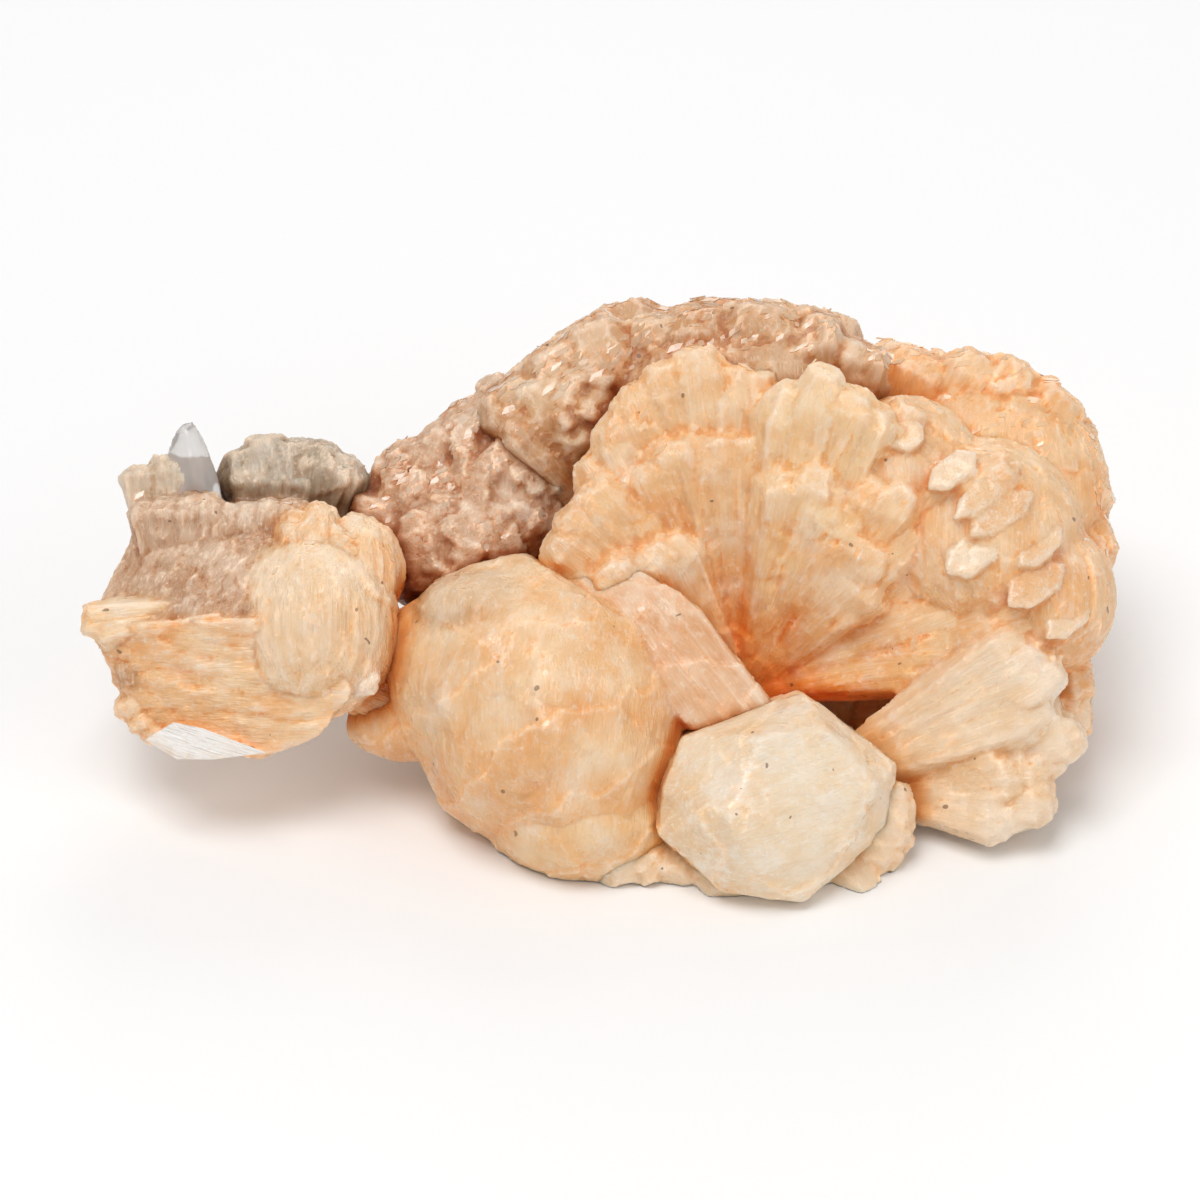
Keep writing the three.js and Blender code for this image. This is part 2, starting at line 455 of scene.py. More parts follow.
class CrystalRecipe(Recipe):
    """What the sheaf and the burr share: steady variation, turns and the blades themselves."""

    kinds = 3

    def varied(self, index: Any, series: int, seed: Any) -> bpy.types.NodeSocket:
        """Gives each blade its own number from 0 to 1, the same in every run.

        Args:
            index: The blade's number.
            series: Which of the blade's numbers it is.
            seed: The sheaf's seed.

        Returns:
            The number's socket.
        """
        start = self.times_plus(seed, SEED_STEP, STEPS[series])
        return self.math("FRACT", self.times_plus(index, STEPS[series], start))

    def turned(self, turn: Any, angles: Any) -> bpy.types.NodeSocket:
        """Adds one more turn after another, both in the sheaf's own frame."""
        added = self.node("FunctionNodeEulerToRotation", {0: angles}).outputs[0]
        if turn is None:
            return added
        return self.node("FunctionNodeRotateRotation", {0: turn, 1: added},
                         rotation_space="GLOBAL").outputs[0]

    def blade_kinds(self) -> bpy.types.NodeSocket:
        """Makes the blades that a sheaf picks from, each with its own slope at the tip.

        Returns:
            The blades, as separate instances.
        """
        bevel, top, bow = self.sizes("Bevel", "Top", "Bow")
        gathered = self.node("GeometryNodeJoinGeometry")
        for kind in range(self.kinds):
            share = kind / (self.kinds - 1)
            slope = self.times(bevel, BEVEL_RANGE[0] + share * (BEVEL_RANGE[1] - BEVEL_RANGE[0]))
            blade = self.blade(slope, top, bow)
            single = self.node("GeometryNodeGeometryToInstance", {0: blade})
            self.tree.links.new(single.outputs[0], gathered.inputs[0])
        return gathered.outputs[0]

    def blade(self, bevel: Any, top: Any, bow: Any) -> bpy.types.NodeSocket:
        """Makes one blade of unit size: half a width to each side, one length up.

        Args:
            bevel: The share of its length that the slope at the tip takes.
            top: How broad the very tip is, as a share of the blade.
            bow: How far its middle stands forward, as a share of half its thickness.

        Returns:
            The blade's geometry.
        """
        sizes = {"Vertices": BLADE_SIDES, "Side Segments": BLADE_RINGS, "Radius": 1.0, "Depth": 2.0}
        stock = self.node("GeometryNodeMeshCylinder", sizes).outputs[0]
        x, y, z = self.parts(self.position())
        level = self.times_plus(z, BLADE_RINGS / 2, BLADE_RINGS / 2)
        body = self.math("MINIMUM", self.over(level, BLADE_RINGS - 1.0), 1.0)
        tip = self.math("MAXIMUM", self.minus(level, BLADE_RINGS - 1.0), 0.0)
        height = self.times_plus(tip, bevel, self.times(body, self.minus(1.0, bevel)))
        taper = self.times(self.blend(BLADE_ROOT, 1.0, body), self.blend(1.0, top, tip))
        arch = self.times(self.times(height, self.minus(1.0, height)), 4.0)
        depth = self.times_plus(arch, bow, self.times(self.times(y, taper), -1.0))
        shape = self.vector(self.times(x, taper), height, depth)
        shaped = self.node("GeometryNodeSetPosition", {"Geometry": stock, "Position": shape}).outputs[0]
        return self.store(shaped, "unit", self.position(), "FLOAT_VECTOR")

    def planted(self, points: Any, index: Any, seed: Any, size: Any, turn: Any, ball: Any = None) -> None:
        """Plants a blade on each point, keeps its grain and tint, and ends the tree.

        Args:
            points: The points.
            index: Each point's number.
            seed: The seed.
            size: Half the width, the length and half the thickness of each blade.
            turn: Each blade's turn.
            ball: A solid middle to join, if there is one.
        """
        tint = self.size("Tint", "Vector")
        gloss = self.size("Gloss")
        finish = self.size("Finish", "Material")
        points = self.store(points, "size", size, "FLOAT_VECTOR")
        points = self.store(points, "shade", self.varied(index, 3, seed))
        choice = self.math("FLOOR", self.times(self.varied(index, 3, seed), float(self.kinds)))
        inputs = {"Points": points, "Instance": self.blade_kinds(), "Pick Instance": True,
                  "Instance Index": choice}
        inputs.update({"Rotation": turn, "Scale": size})
        grown = self.node("GeometryNodeInstanceOnPoints", inputs).outputs[0]
        whole = self.node("GeometryNodeRealizeInstances", {0: grown}).outputs[0]
        grain = self.vector_math("MULTIPLY", self.named("unit", "FLOAT_VECTOR"),
                                 self.named("size", "FLOAT_VECTOR"))
        whole = self.store(whole, "grain", grain, "FLOAT_VECTOR")
        if ball is not None:
            both = self.node("GeometryNodeJoinGeometry", {0: whole})
            self.tree.links.new(ball, both.inputs[0])
            whole = both.outputs[0]
        whole = self.store(whole, "tint", tint, "FLOAT_VECTOR")
        whole = self.store(whole, "gloss", gloss)
        self.close(self.node("GeometryNodeSetMaterial", {"Geometry": whole, "Material": finish}).outputs[0])


class SheafRecipe(CrystalRecipe):
    """Grows the blades of one sheaf along +Y, in millimetres."""

    def __init__(self) -> None:
        """Writes the tree."""
        super().__init__("sheaf")
        blades = self.size("Blades", "Int")
        rows = self.size("Rows", "Int")
        length, width, thick, spread = self.sizes("Length", "Width", "Thick", "Spread")
        lean, base, rise, rounded = self.sizes("Lean", "Base", "Rise", "Rounded")
        uneven, seed = self.sizes("Uneven", "Seed")
        index = self.node("GeometryNodeInputIndex").outputs[0]
        row = self.math("FLOOR", self.over(index, blades))
        column = self.minus(index, self.times(row, blades))
        odd = self.times_plus(self.math("FLOORED_MODULO", row, 2.0), 2.0, -1.0)
        stagger = self.times(self.times(odd, ROW_STAGGER), self.math("GREATER_THAN", rows, 1.0))
        middle = self.plus(self.plus(column, 0.5), stagger)
        place = self.times_plus(self.over(middle, blades), 2.0, -1.0)
        back = self.over(row, self.math("MAXIMUM", self.minus(rows, 1.0), 1.0))
        loss = self.times(self.times(place, place), rounded)
        shorter = self.times_plus(self.varied(index, 1, seed), uneven, loss)
        longer = self.times_plus(rise, back, 1.0)
        reach = self.times(self.times(length, longer), self.minus(1.0, shorter))
        swell = self.times_plus(self.varied(index, 2, seed), -WIDTH_VARIATION, 1.0 + WIDTH_VARIATION / 2)
        half_width = self.times(self.times(width, swell), 0.5)
        size = self.vector(half_width, reach, self.times(thick, 0.5))
        pitch = self.over(self.times(spread, 2.0), blades)
        stray = self.minus(self.varied(index, 0, seed), 0.5)
        stray = self.times(self.times(stray, pitch), ANGLE_VARIATION)
        angle = self.minus(stray, self.times(place, spread))
        twist = self.minus(self.varied(index, 3, self.plus(seed, 1.0)), 0.5)
        turn = self.turned(None, self.vector(0.0, self.times(twist, TWIST_VARIATION), 0.0))
        turn = self.turned(turn, self.vector(self.times(self.times(back, lean), -1.0), 0.0, 0.0))
        turn = self.turned(turn, self.vector(0.0, 0.0, angle))
        spot = self.vector(self.times(place, base), 0.0, 0.0)
        count = self.times(blades, rows)
        points = self.node("GeometryNodePoints", {"Count": count, "Position": spot}).outputs[0]
        self.planted(points, index, seed, size, turn)

    def sheaf(self, plan: Sheaf, finish: bpy.types.Material) -> bpy.types.Object:
        """Grows one sheaf and puts it at its place in the layout.

        Args:
            plan: The sheaf's sizes.
            finish: Its material.

        Returns:
            The sheaf as an object with a plain mesh, in millimetres.
        """
        start = shown(bpy.data.meshes.new("start"), "start")
        mesh = self.grow(start, {
            "Blades": plan.blades, "Rows": plan.rows, "Length": plan.length(), "Width": plan.width,
            "Thick": plan.thick, "Spread": math.radians(plan.spread), "Lean": math.radians(plan.lean),
            "Base": plan.base, "Rise": plan.rise, "Rounded": plan.rounded, "Uneven": plan.uneven,
            "Seed": float(plan.seed), "Bevel": plan.width * plan.point / plan.length(), "Top": plan.top,
            "Bow": plan.bow * 2 / plan.thick, "Tint": plan.tint.value, "Gloss": plan.gloss,
            "Finish": finish,
        })
        bpy.data.objects.remove(start)
        mesh.transform(plan.stand())
        return shown(mesh, "sheaf")


class BurrRecipe(CrystalRecipe):
    """Grows short blades all round a middle, so that their flat ends make a rounded, stepped skin."""

    def __init__(self) -> None:
        """Writes the tree."""
        super().__init__("burr")
        count = self.size("Count", "Int")
        radii = self.size("Radii", "Vector")
        width, flatness, depth, stand = self.sizes("Width", "Flatness", "Depth", "Stand")
        tilt, seed = self.sizes("Tilt", "Seed")
        index = self.node("GeometryNodeInputIndex").outputs[0]
        step = self.over(self.plus(index, 0.5), count)
        height = self.times_plus(step, -2.0, 1.0)
        ring = self.math("SQRT", self.minus(1.0, self.times(height, height)))
        around = self.times_plus(index, GOLDEN_ANGLE, seed)
        x = self.times(ring, self.math("COSINE", around))
        y = self.times(ring, self.math("SINE", around))
        way = self.vector(x, y, height)
        out = self.vector_math("NORMALIZE", self.vector_math("DIVIDE", way, radii))
        proud = self.times(self.minus(self.varied(index, 0, seed), 0.5), stand)
        spot = self.vector_math("MULTIPLY", way, radii)
        root = self.vector_math("ADD", spot, self.scaled(out, self.minus(proud, depth)))
        swell = self.times_plus(self.varied(index, 2, seed), WIDTH_VARIATION * 2, 1.0 - WIDTH_VARIATION)
        half_width = self.times(self.times(width, swell), 0.5)
        size = self.vector(half_width, depth, self.times(half_width, flatness))
        turn = self.turned(None,
                           self.vector(self.swing(index, 1, seed, tilt), 0.0,
                                       self.swing(index, 2, seed, tilt)))
        rolled = self.times(self.varied(index, 3, seed), math.pi)
        aligned = self.node("FunctionNodeAlignRotationToVector", {"Vector": out}, axis="Y",
                            pivot_axis="AUTO")
        turn = self.turned(turn, self.vector(0.0, rolled, 0.0))
        turn = self.node("FunctionNodeRotateRotation", {0: turn, 1: aligned.outputs[0]},
                         rotation_space="GLOBAL")
        points = self.node("GeometryNodePoints", {"Count": count, "Position": root}).outputs[0]
        ball = self.node("GeometryNodeMeshIcoSphere", {"Radius": 1.0, "Subdivisions": 5}).outputs[0]
        inner = self.vector_math("SUBTRACT", radii, self.vector(stand, stand, stand))
        shape = self.vector_math("MULTIPLY", self.position(), inner)
        ball = self.node("GeometryNodeSetPosition", {"Geometry": ball, "Position": shape}).outputs[0]
        ball = self.store(ball, "unit", (0.0, 0.8, 0.0), "FLOAT_VECTOR")
        ball = self.store(ball, "grain", self.position(), "FLOAT_VECTOR")
        ball = self.store(ball, "shade", 0.5)
        self.planted(points, index, seed, size, turn.outputs[0], ball)

    def swing(self, index: Any, series: int, seed: Any, most: Any) -> bpy.types.NodeSocket:
        """Gives each blade a lean to one side or the other."""
        return self.times(self.minus(self.varied(index, series, seed), 0.5), most)

    def burr(self, plan: Burr, finish: bpy.types.Material) -> bpy.types.Object:
        """Grows one burr and puts it at its place in the layout.

        Args:
            plan: The burr's sizes.
            finish: Its material.

        Returns:
            The burr as an object with a plain mesh, in millimetres.
        """
        start = shown(bpy.data.meshes.new("start"), "start")
        mesh = self.grow(start, {
            "Count": plan.count, "Radii": plan.radii, "Width": plan.width, "Flatness": plan.flatness,
            "Depth": plan.depth, "Stand": plan.stand, "Tilt": math.radians(plan.tilt * 2),
            "Seed": float(plan.seed), "Bevel": plan.width * plan.point / plan.depth, "Top": plan.top,
            "Bow": 0.0, "Tint": plan.tint.value, "Gloss": 0.0, "Finish": finish,
        })
        bpy.data.objects.remove(start)
        mesh.transform(Matrix.Translation(Vector(plan.centre)))
        return shown(mesh, "burr")


def marked(mesh: bpy.types.Mesh, tint: Tint, along: Point, finish: bpy.types.Material) -> bpy.types.Object:
    """Gives a plain mass the attributes that a sheaf has.

    Args:
        mesh: The mass, in layout millimetres.
        tint: Its body colour.
        along: The way its grain runs.
        finish: Its material.

    Returns:
        The mass as an object.
    """
    count = len(mesh.vertices)
    turn = Vector(along).rotation_difference(Vector((0.0, 1.0, 0.0)))
    places = [turn @ vertex.co for vertex in mesh.vertices]
    low = min(place.y for place in places)
    high = max(place.y for place in places)
    units = [part for place in places for part in (0.0, 0.5 + 0.5 * (place.y - low) / (high - low), 0.0)]
    mesh.attributes.new("unit", "FLOAT_VECTOR", "POINT").data.foreach_set("vector", units)
    mesh.attributes.new("tint", "FLOAT_VECTOR", "POINT").data.foreach_set("vector", tint.value * count)
    flat = [part for place in places for part in place]
    mesh.attributes.new("grain", "FLOAT_VECTOR", "POINT").data.foreach_set("vector", flat)
    mesh.attributes.new("shade", "FLOAT", "POINT").data.foreach_set("value", [0.5] * count)
    mesh.attributes.new("gloss", "FLOAT", "POINT")
    mesh.materials.append(finish)
    return shown(mesh, "mass")


def lump_object(plan: Lump, finish: bpy.types.Material) -> bpy.types.Object:
    """Makes a rounded mass.

    Args:
        plan: The mass's place and radii.
        finish: Its material.

    Returns:
        The mass as an object, in millimetres.
    """
    ball = bmesh.new()
    bmesh.ops.create_icosphere(ball, subdivisions=4, radius=1.0)
    mesh = bpy.data.meshes.new("lump")
    ball.to_mesh(mesh)
    ball.free()
    mesh.transform(Matrix.Translation(Vector(plan.centre)) @ Matrix.Diagonal((*plan.radii, 1.0)))
    return marked(mesh, plan.tint, (0.0, 1.0, 0.0), finish)


def crystal_object(plan: Crystal, finish: bpy.types.Material) -> bpy.types.Object:
    """Makes a single crystal as the hull of its corners.

    Args:
        plan: The crystal's corners and tint.
        finish: Its material.

    Returns:
        The crystal as an object, in millimetres.
    """
    body = bmesh.new()
    for corner in plan.corners:
        body.verts.new(corner)
    hull = bmesh.ops.convex_hull(body, input=body.verts)
    spare = {item for item in hull["geom_interior"] + hull["geom_unused"] if isinstance(item,
            bmesh.types.BMVert)}
    bmesh.ops.delete(body, geom=list(spare), context="VERTS")
    bmesh.ops.recalc_face_normals(body, faces=body.faces)
    mesh = bpy.data.meshes.new("crystal")
    body.to_mesh(mesh)
    body.free()
    return marked(mesh, plan.tint, plan.along, finish)


class SurfaceRecipe(Recipe):
    """Softens a fused mass, gives it back its blades' grain and raises its fine relief. In metres."""

    def __init__(self) -> None:
        """Writes the tree."""
        super().__init__("surface")
        soften = self.size("Soften", "Int")
        rough = self.size("Rough", "Object")
        around = self.size("Around", "Object")
        reach = self.size("Reach")
        relief = self.relief()
        finish = self.size("Finish", "Material")
        blurred = self.blurred(self.position(), soften)
        mass = self.start.outputs["Geometry"]
        mass = self.node("GeometryNodeSetPosition", {"Geometry": mass, "Position": blurred}).outputs[0]
        source = self.node("GeometryNodeObjectInfo", {"Object": rough}).outputs["Geometry"]
        for name, blur in (("unit", 0), ("grain", 0), ("tint", 10)):
            value = self.node("GeometryNodeSampleNearestSurface", data_type="FLOAT_VECTOR")
            self.feed(value.inputs["Mesh"], source)
            self.feed(value.inputs["Value"], self.named(name, "FLOAT_VECTOR"))
            mass = self.store(mass, name, value.outputs[0], "FLOAT_VECTOR")
            if blur:
                mass = self.store(mass, name, self.blurred(self.named(name, "FLOAT_VECTOR"), blur),
                                  "FLOAT_VECTOR")
        for name in ("shade", "gloss"):
            value = self.node("GeometryNodeSampleNearestSurface", data_type="FLOAT")
            self.feed(value.inputs["Mesh"], source)
            self.feed(value.inputs["Value"], self.named(name))
            mass = self.store(mass, name, value.outputs[0])
        # How shut in each point is by the crystals round it; the material paints shade from it.
        mass = self.store(mass, "deep", self.shelter(around, reach))
        mass = self.store(mass, "deep", self.blurred(self.named("deep"), 3, "FLOAT"))
        normal = self.node("GeometryNodeInputNormal").outputs[0]
        quiet = self.times_plus(self.named("gloss"), -0.8, 1.0)
        offset = self.scaled(normal, self.times(relief, quiet))
        mass = self.node("GeometryNodeSetPosition", {"Geometry": mass, "Offset": offset}).outputs[0]
        mass = self.store(mass, "edge", self.bulge(normal))
        mass = self.node("GeometryNodeSetShadeSmooth", {0: mass, 2: True}).outputs[0]
        self.close(self.node("GeometryNodeSetMaterial", {"Geometry": mass, "Material": finish}).outputs[0])

    def blurred(self, value: Any, rounds: Any, data_type: str = "FLOAT_VECTOR") -> bpy.types.NodeSocket:
        """Evens a value out over its neighbours."""
        made = self.node("GeometryNodeBlurAttribute", data_type=data_type)
        self.feed(made.inputs["Value"], value)
        self.feed(made.inputs["Iterations"], rounds)
        return made.outputs[0]

    def bulge(self, normal: Any) -> bpy.types.NodeSocket:
        """Measures how far each point stands out from its surroundings, in millimetres."""
        stands = self.vector_math("SUBTRACT", self.position(), self.blurred(self.position(), EDGE_ROUNDS))
        return self.over(self.vector_math("DOT_PRODUCT", stands, normal), MM)

    def relief(self) -> bpy.types.NodeSocket:
        """Adds up the fine relief: lines along the blades, flat facets, growth steps and a soft waviness.

        Returns:
            The height over the surface.
        """
        striation, blade_size, blade_tilt, facet_size = self.sizes("Striation", "Blade size", "Blade tilt",
                "Facet size")
        facet_tilt, wave_height, wave_size, step_height = self.sizes("Facet tilt", "Wave", "Wave size",
                "Step height")
        step_size = self.size("Step size")
        step_centre = self.size("Step centre", "Vector")
        x, y, z = self.parts(self.named("grain", "FLOAT_VECTOR"))
        stray = self.times(self.named("shade"), 37.0)
        drawn = self.vector(x, self.times_plus(y, LINE_STRETCH, stray), z)
        line = self.minus(self.noise(drawn, 1.0, 2.0, 0.65), 0.5)
        high = self.times(line, striation)
        high = self.plus(high, self.facets(drawn, blade_size, blade_tilt))
        high = self.plus(high, self.facets(self.position(), facet_size, facet_tilt))
        away = self.vector_math("LENGTH", self.vector_math("SUBTRACT", self.position(), step_centre))
        bent = self.times(self.noise(self.position(), STEP_BEND_SCALE, 2.0), STEP_BEND)
        ring = self.math("FRACT", self.plus(self.over(away, step_size), bent))
        high = self.times_plus(self.times(ring, ring), step_height, high)
        wave = self.node("ShaderNodeTexNoise", {"Vector": self.position(), "Detail": 2.0})
        self.feed(wave.inputs["Scale"], self.over(1.0, wave_size))
        return self.times_plus(self.minus(wave.outputs[0], 0.5), wave_height, high)

    def facets(self, place: Any, size: Any, tilt: Any) -> bpy.types.NodeSocket:
        """Breaks the surface into cells that each lean their own way.

        Args:
            place: Where the cells are read.
            size: The cells' breadth, in the units of the place.
            tilt: The height of a cell's edge over its middle, in metres.

        Returns:
            The height over the surface.
        """
        spot = self.scaled(place, self.over(1.0, size))
        cells = self.node("ShaderNodeTexVoronoi", {"Vector": spot, "Scale": 1.0})
        lean = self.vector_math("SUBTRACT", cells.outputs["Color"], (0.5, 0.5, 0.5))
        off = self.vector_math("SUBTRACT", spot, cells.outputs["Position"])
        slope = self.vector_math("DOT_PRODUCT", lean, off)
        step = self.minus(self.parts(cells.outputs["Color"])[0], 0.5)
        height = self.times_plus(step, FACET_STEP, self.times(slope, 2.0))
        return self.times(height, tilt)

    def shelter(self, around: Any, reach: Any) -> bpy.types.NodeSocket:
        """Measures how shut in each point is by the crystals round it.

        Args:
            around: The object that shuts it in.
            reach: How far away a crystal still counts.

        Returns:
            The share of directions that are blocked close by.
        """
        walls = self.node("GeometryNodeObjectInfo", {"Object": around}).outputs["Geometry"]
        normal = self.node("GeometryNodeInputNormal").outputs[0]
        lifted = self.scaled(normal, SHELTER_LIFT * MM)
        eye = self.vector_math("ADD", self.position(), lifted)
        total: Any = 0.0
        for index in range(SHELTER_RAYS):
            height = 1.0 - 2.0 * (index + 0.5) / SHELTER_RAYS
            ring = math.sqrt(1.0 - height * height)
            turn = index * GOLDEN_ANGLE
            way = (ring * math.cos(turn), ring * math.sin(turn), height)
            aim = self.vector_math("ADD", self.scaled(normal, 1.08), way)
            ray = self.node("GeometryNodeRaycast", {"Target Geometry": walls})
            self.feed(ray.inputs["Source Position"], eye)
            self.feed(ray.inputs["Ray Direction"], aim)
            self.feed(ray.inputs["Ray Length"], reach)
            near = self.minus(1.0, self.over(ray.outputs["Hit Distance"], reach))
            total = self.times_plus(ray.outputs["Is Hit"], near, total)
        return self.over(total, float(SHELTER_RAYS))


@dataclass(frozen=True)
class StoneFinish:
    """Translucent stilbite: paler at tips, with painted light on its convex edges and painted shade, a
    deeper orange, where the crystals shut the light in and in creases.
    """

    name: str
    roughness: float = 0.38
    scatter: float = 1.3
    scatter_share: Colour = (1.0, 0.5, 0.3)
    cloud: float = 0.45
    cloud_colour: Colour = (0.90, 0.72, 0.55)
    # Strength of the painted shade in sheltered hollows and creases.
    depth: float = 1.0
    line_height: float = 0.5
    sparkle: float = 0.3
    dirt_colour: Colour = (0.16, 0.06, 0.025)
    refraction: float = 1.5
    coat: float = 0.12
    coat_roughness: float = 0.14
    power: float = 0.77
    least_power: float = 0.4
    root_power: float = 0.45
    painted_shade_power: float = 0.95
    painted_crease_shade_power: float = 0.5
    patch_power: float = 1.3
    own_power: float = 0.3
    most_cloud: float = 0.92
    patch_scale: float = 190.0
    cloud_scale: float = 260.0
    shine_scale: float = 700.0
    speck_scale: float = 900.0
    speck_share: float = 0.14
    chip_scale: float = 1100.0
    fleck_scale: float = 1700.0
    line_depth: float = 0.3
    facet_roughness: float = 0.16

    def material(self) -> bpy.types.Material:
        """Builds the material.

        Returns:
            The material, which reads the pieces' own attributes and Object coordinates.
        """
        made = bpy.data.materials.new(self.name)
        made.use_nodes = True
        made.node_tree.nodes.clear()
        sheet = NodeSheet(made.node_tree)
        place = sheet.node("ShaderNodeTexCoord").outputs["Object"]
        grain = sheet.node("ShaderNodeAttribute", attribute_name="grain").outputs["Vector"]
        gloss = sheet.node("ShaderNodeAttribute", attribute_name="gloss").outputs["Fac"]
        colour = self.colour(sheet, place, grain, gloss)
        surface = sheet.node("ShaderNodeBsdfPrincipled", {"Base Color": colour}, subsurface_method="BURLEY")
        sheet.feed(surface.inputs["Subsurface Weight"], sheet.times_plus(gloss, -1.0, 1.0))
        surface.inputs["Subsurface Radius"].default_value = self.scatter_share
        surface.inputs["Subsurface Scale"].default_value = self.scatter * MM
        surface.inputs["IOR"].default_value = self.refraction
        surface.inputs["Coat Roughness"].default_value = self.coat_roughness
        sheet.feed(surface.inputs["Coat Weight"], sheet.times_plus(gloss, 0.85, self.coat))
        self.texture(sheet, surface, place, grain, gloss)
        end = sheet.node("ShaderNodeOutputMaterial")
        sheet.tree.links.new(surface.outputs[0], end.inputs[0])
        return made

    def colour(self, sheet: NodeSheet, place: Any, grain: Any, gloss: Any) -> bpy.types.NodeSocket:
        """Mixes the body colour with painted shade in sheltered hollows and creases, milky clouds, painted
        light on pale edges, a painted highlight on glossy facets and rare dark specks.

        Args:
            sheet: The material's nodes.
            place: Object coordinates.
            grain: The place along and across the blade, in millimetres.
            gloss: How much of a bright facet it is.

        Returns:
            The base colour.
        """
        unit = sheet.node("ShaderNodeAttribute", attribute_name="unit").outputs["Vector"]
        tint = sheet.node("ShaderNodeAttribute", attribute_name="tint").outputs["Color"]
        shade = sheet.node("ShaderNodeAttribute", attribute_name="shade").outputs["Fac"]
        deep = sheet.node("ShaderNodeAttribute", attribute_name="deep").outputs["Fac"]
        edge = sheet.node("ShaderNodeAttribute", attribute_name="edge").outputs["Fac"]
        root = sheet.ramp(sheet.parts(unit)[1], 0.95, 0.2, 0.0, self.root_power)
        # Painted shade: a deeper orange where the crystals round a point block its light.
        shut = sheet.ramp(deep, 0.1, 0.7, 0.0, self.painted_shade_power * self.depth)
        # Painted shade: a deeper orange in concave creases.
        painted_crease_shade = sheet.ramp(edge, -0.02, -0.16, 0.0, self.painted_crease_shade_power * self.depth)
        patch = sheet.times(sheet.minus(sheet.noise(place, self.patch_scale, 2.0), 0.5), self.patch_power)
        own = sheet.times(sheet.minus(shade, 0.5), self.own_power)
        power = sheet.plus(sheet.plus(root, shut), sheet.plus(patch, own))
        power = sheet.plus(power, painted_crease_shade)
        power = sheet.math("MAXIMUM", sheet.plus(power, self.power), self.least_power)
        body = sheet.node("ShaderNodeGamma", {0: tint, 1: power}).outputs[0]
        broad = sheet.noise(sheet.vector_math("MULTIPLY", grain, (1.1, 0.06, 1.1)), 1.0, 2.0, 0.65)
        narrow = sheet.noise(sheet.vector_math("MULTIPLY", grain, (4.5, 0.2, 4.5)), 1.0, 1.0, 0.6)
        milk = sheet.times(sheet.ramp(sheet.noise(place, self.cloud_scale, 3.0, 0.6), 0.45, 0.75),
                           self.cloud)
        milk = sheet.times_plus(sheet.ramp(broad, 0.5, 0.75), self.cloud * 0.7, milk)
        milk = sheet.times_plus(sheet.ramp(narrow, 0.52, 0.72), self.cloud * 0.5, milk)
        fleck = sheet.ramp(sheet.noise(place, self.fleck_scale, 1.0, 0.7), 0.58, 0.74)
        milk = sheet.times_plus(fleck, self.cloud * 0.8, milk)
        # Painted light: pale rims on convex edges, for light scattered out of thin edges.
        milk = sheet.times_plus(sheet.ramp(edge, 0.02, 0.16), 0.4, milk)
        # Painted shade: less milky cloud where the crystals round a point block its light.
        milk = sheet.times(milk, sheet.ramp(deep, 0.45, 0.08, 0.1, 1.0))
        # Painted highlight: glossy facets and glints get a paler base colour, on top of their real shine.
        milk = sheet.math("MINIMUM", sheet.times_plus(gloss, 0.15, milk), self.most_cloud)
        colour = sheet.node("ShaderNodeMix", {0: milk, 6: body, 7: (*self.cloud_colour, 1.0)},
                            data_type="RGBA")
        rare = sheet.math("LESS_THAN", sheet.noise(place, self.speck_scale, 0.0), self.speck_share)
        dirt = sheet.node("ShaderNodeMix", {0: sheet.times(rare, 0.7)}, data_type="RGBA")
        sheet.feed(dirt.inputs[6], colour.outputs[2])
        sheet.feed(dirt.inputs[7], (*self.dirt_colour, 1.0))
        return dirt.outputs[2]

    def texture(self, sheet: NodeSheet, surface: bpy.types.Node, place: Any, grain: Any,
                gloss: Any) -> None:
        """Gives the shader its fine lines, its tiny facets and its uneven shine.

        Args:
            sheet: The material's nodes.
            surface: The shader.
            place: Object coordinates.
            grain: The place along and across the blade, in millimetres.
            gloss: How much of a bright facet it is.
        """
        fine = sheet.noise(sheet.vector_math("MULTIPLY", grain, (4.0, 0.2, 4.0)), 1.0, 1.0, 0.7)
        lines = sheet.node("ShaderNodeBump",
                           {"Strength": self.line_height, "Distance": self.line_depth * MM, "Height": fine})
        chip = sheet.node("ShaderNodeTexVoronoi", {"Vector": place, "Scale": self.chip_scale})
        lean = sheet.vector_math("SUBTRACT", chip.outputs["Color"], (0.5, 0.5, 0.5))
        lean = sheet.scaled(lean, self.sparkle)
        tilted = sheet.vector_math("ADD", lines.outputs[0], lean)
        sheet.feed(surface.inputs["Normal"], sheet.vector_math("NORMALIZE", tilted))
        glint = sheet.math("GREATER_THAN", sheet.parts(chip.outputs["Color"])[2], 0.8)
        shine = sheet.blend(self.roughness, self.roughness + 0.2, sheet.noise(place, self.shine_scale, 1.0))
        shine = sheet.times_plus(glint, -0.22, shine)
        sheet.feed(surface.inputs["Roughness"], sheet.blend(shine, self.facet_roughness, gloss))


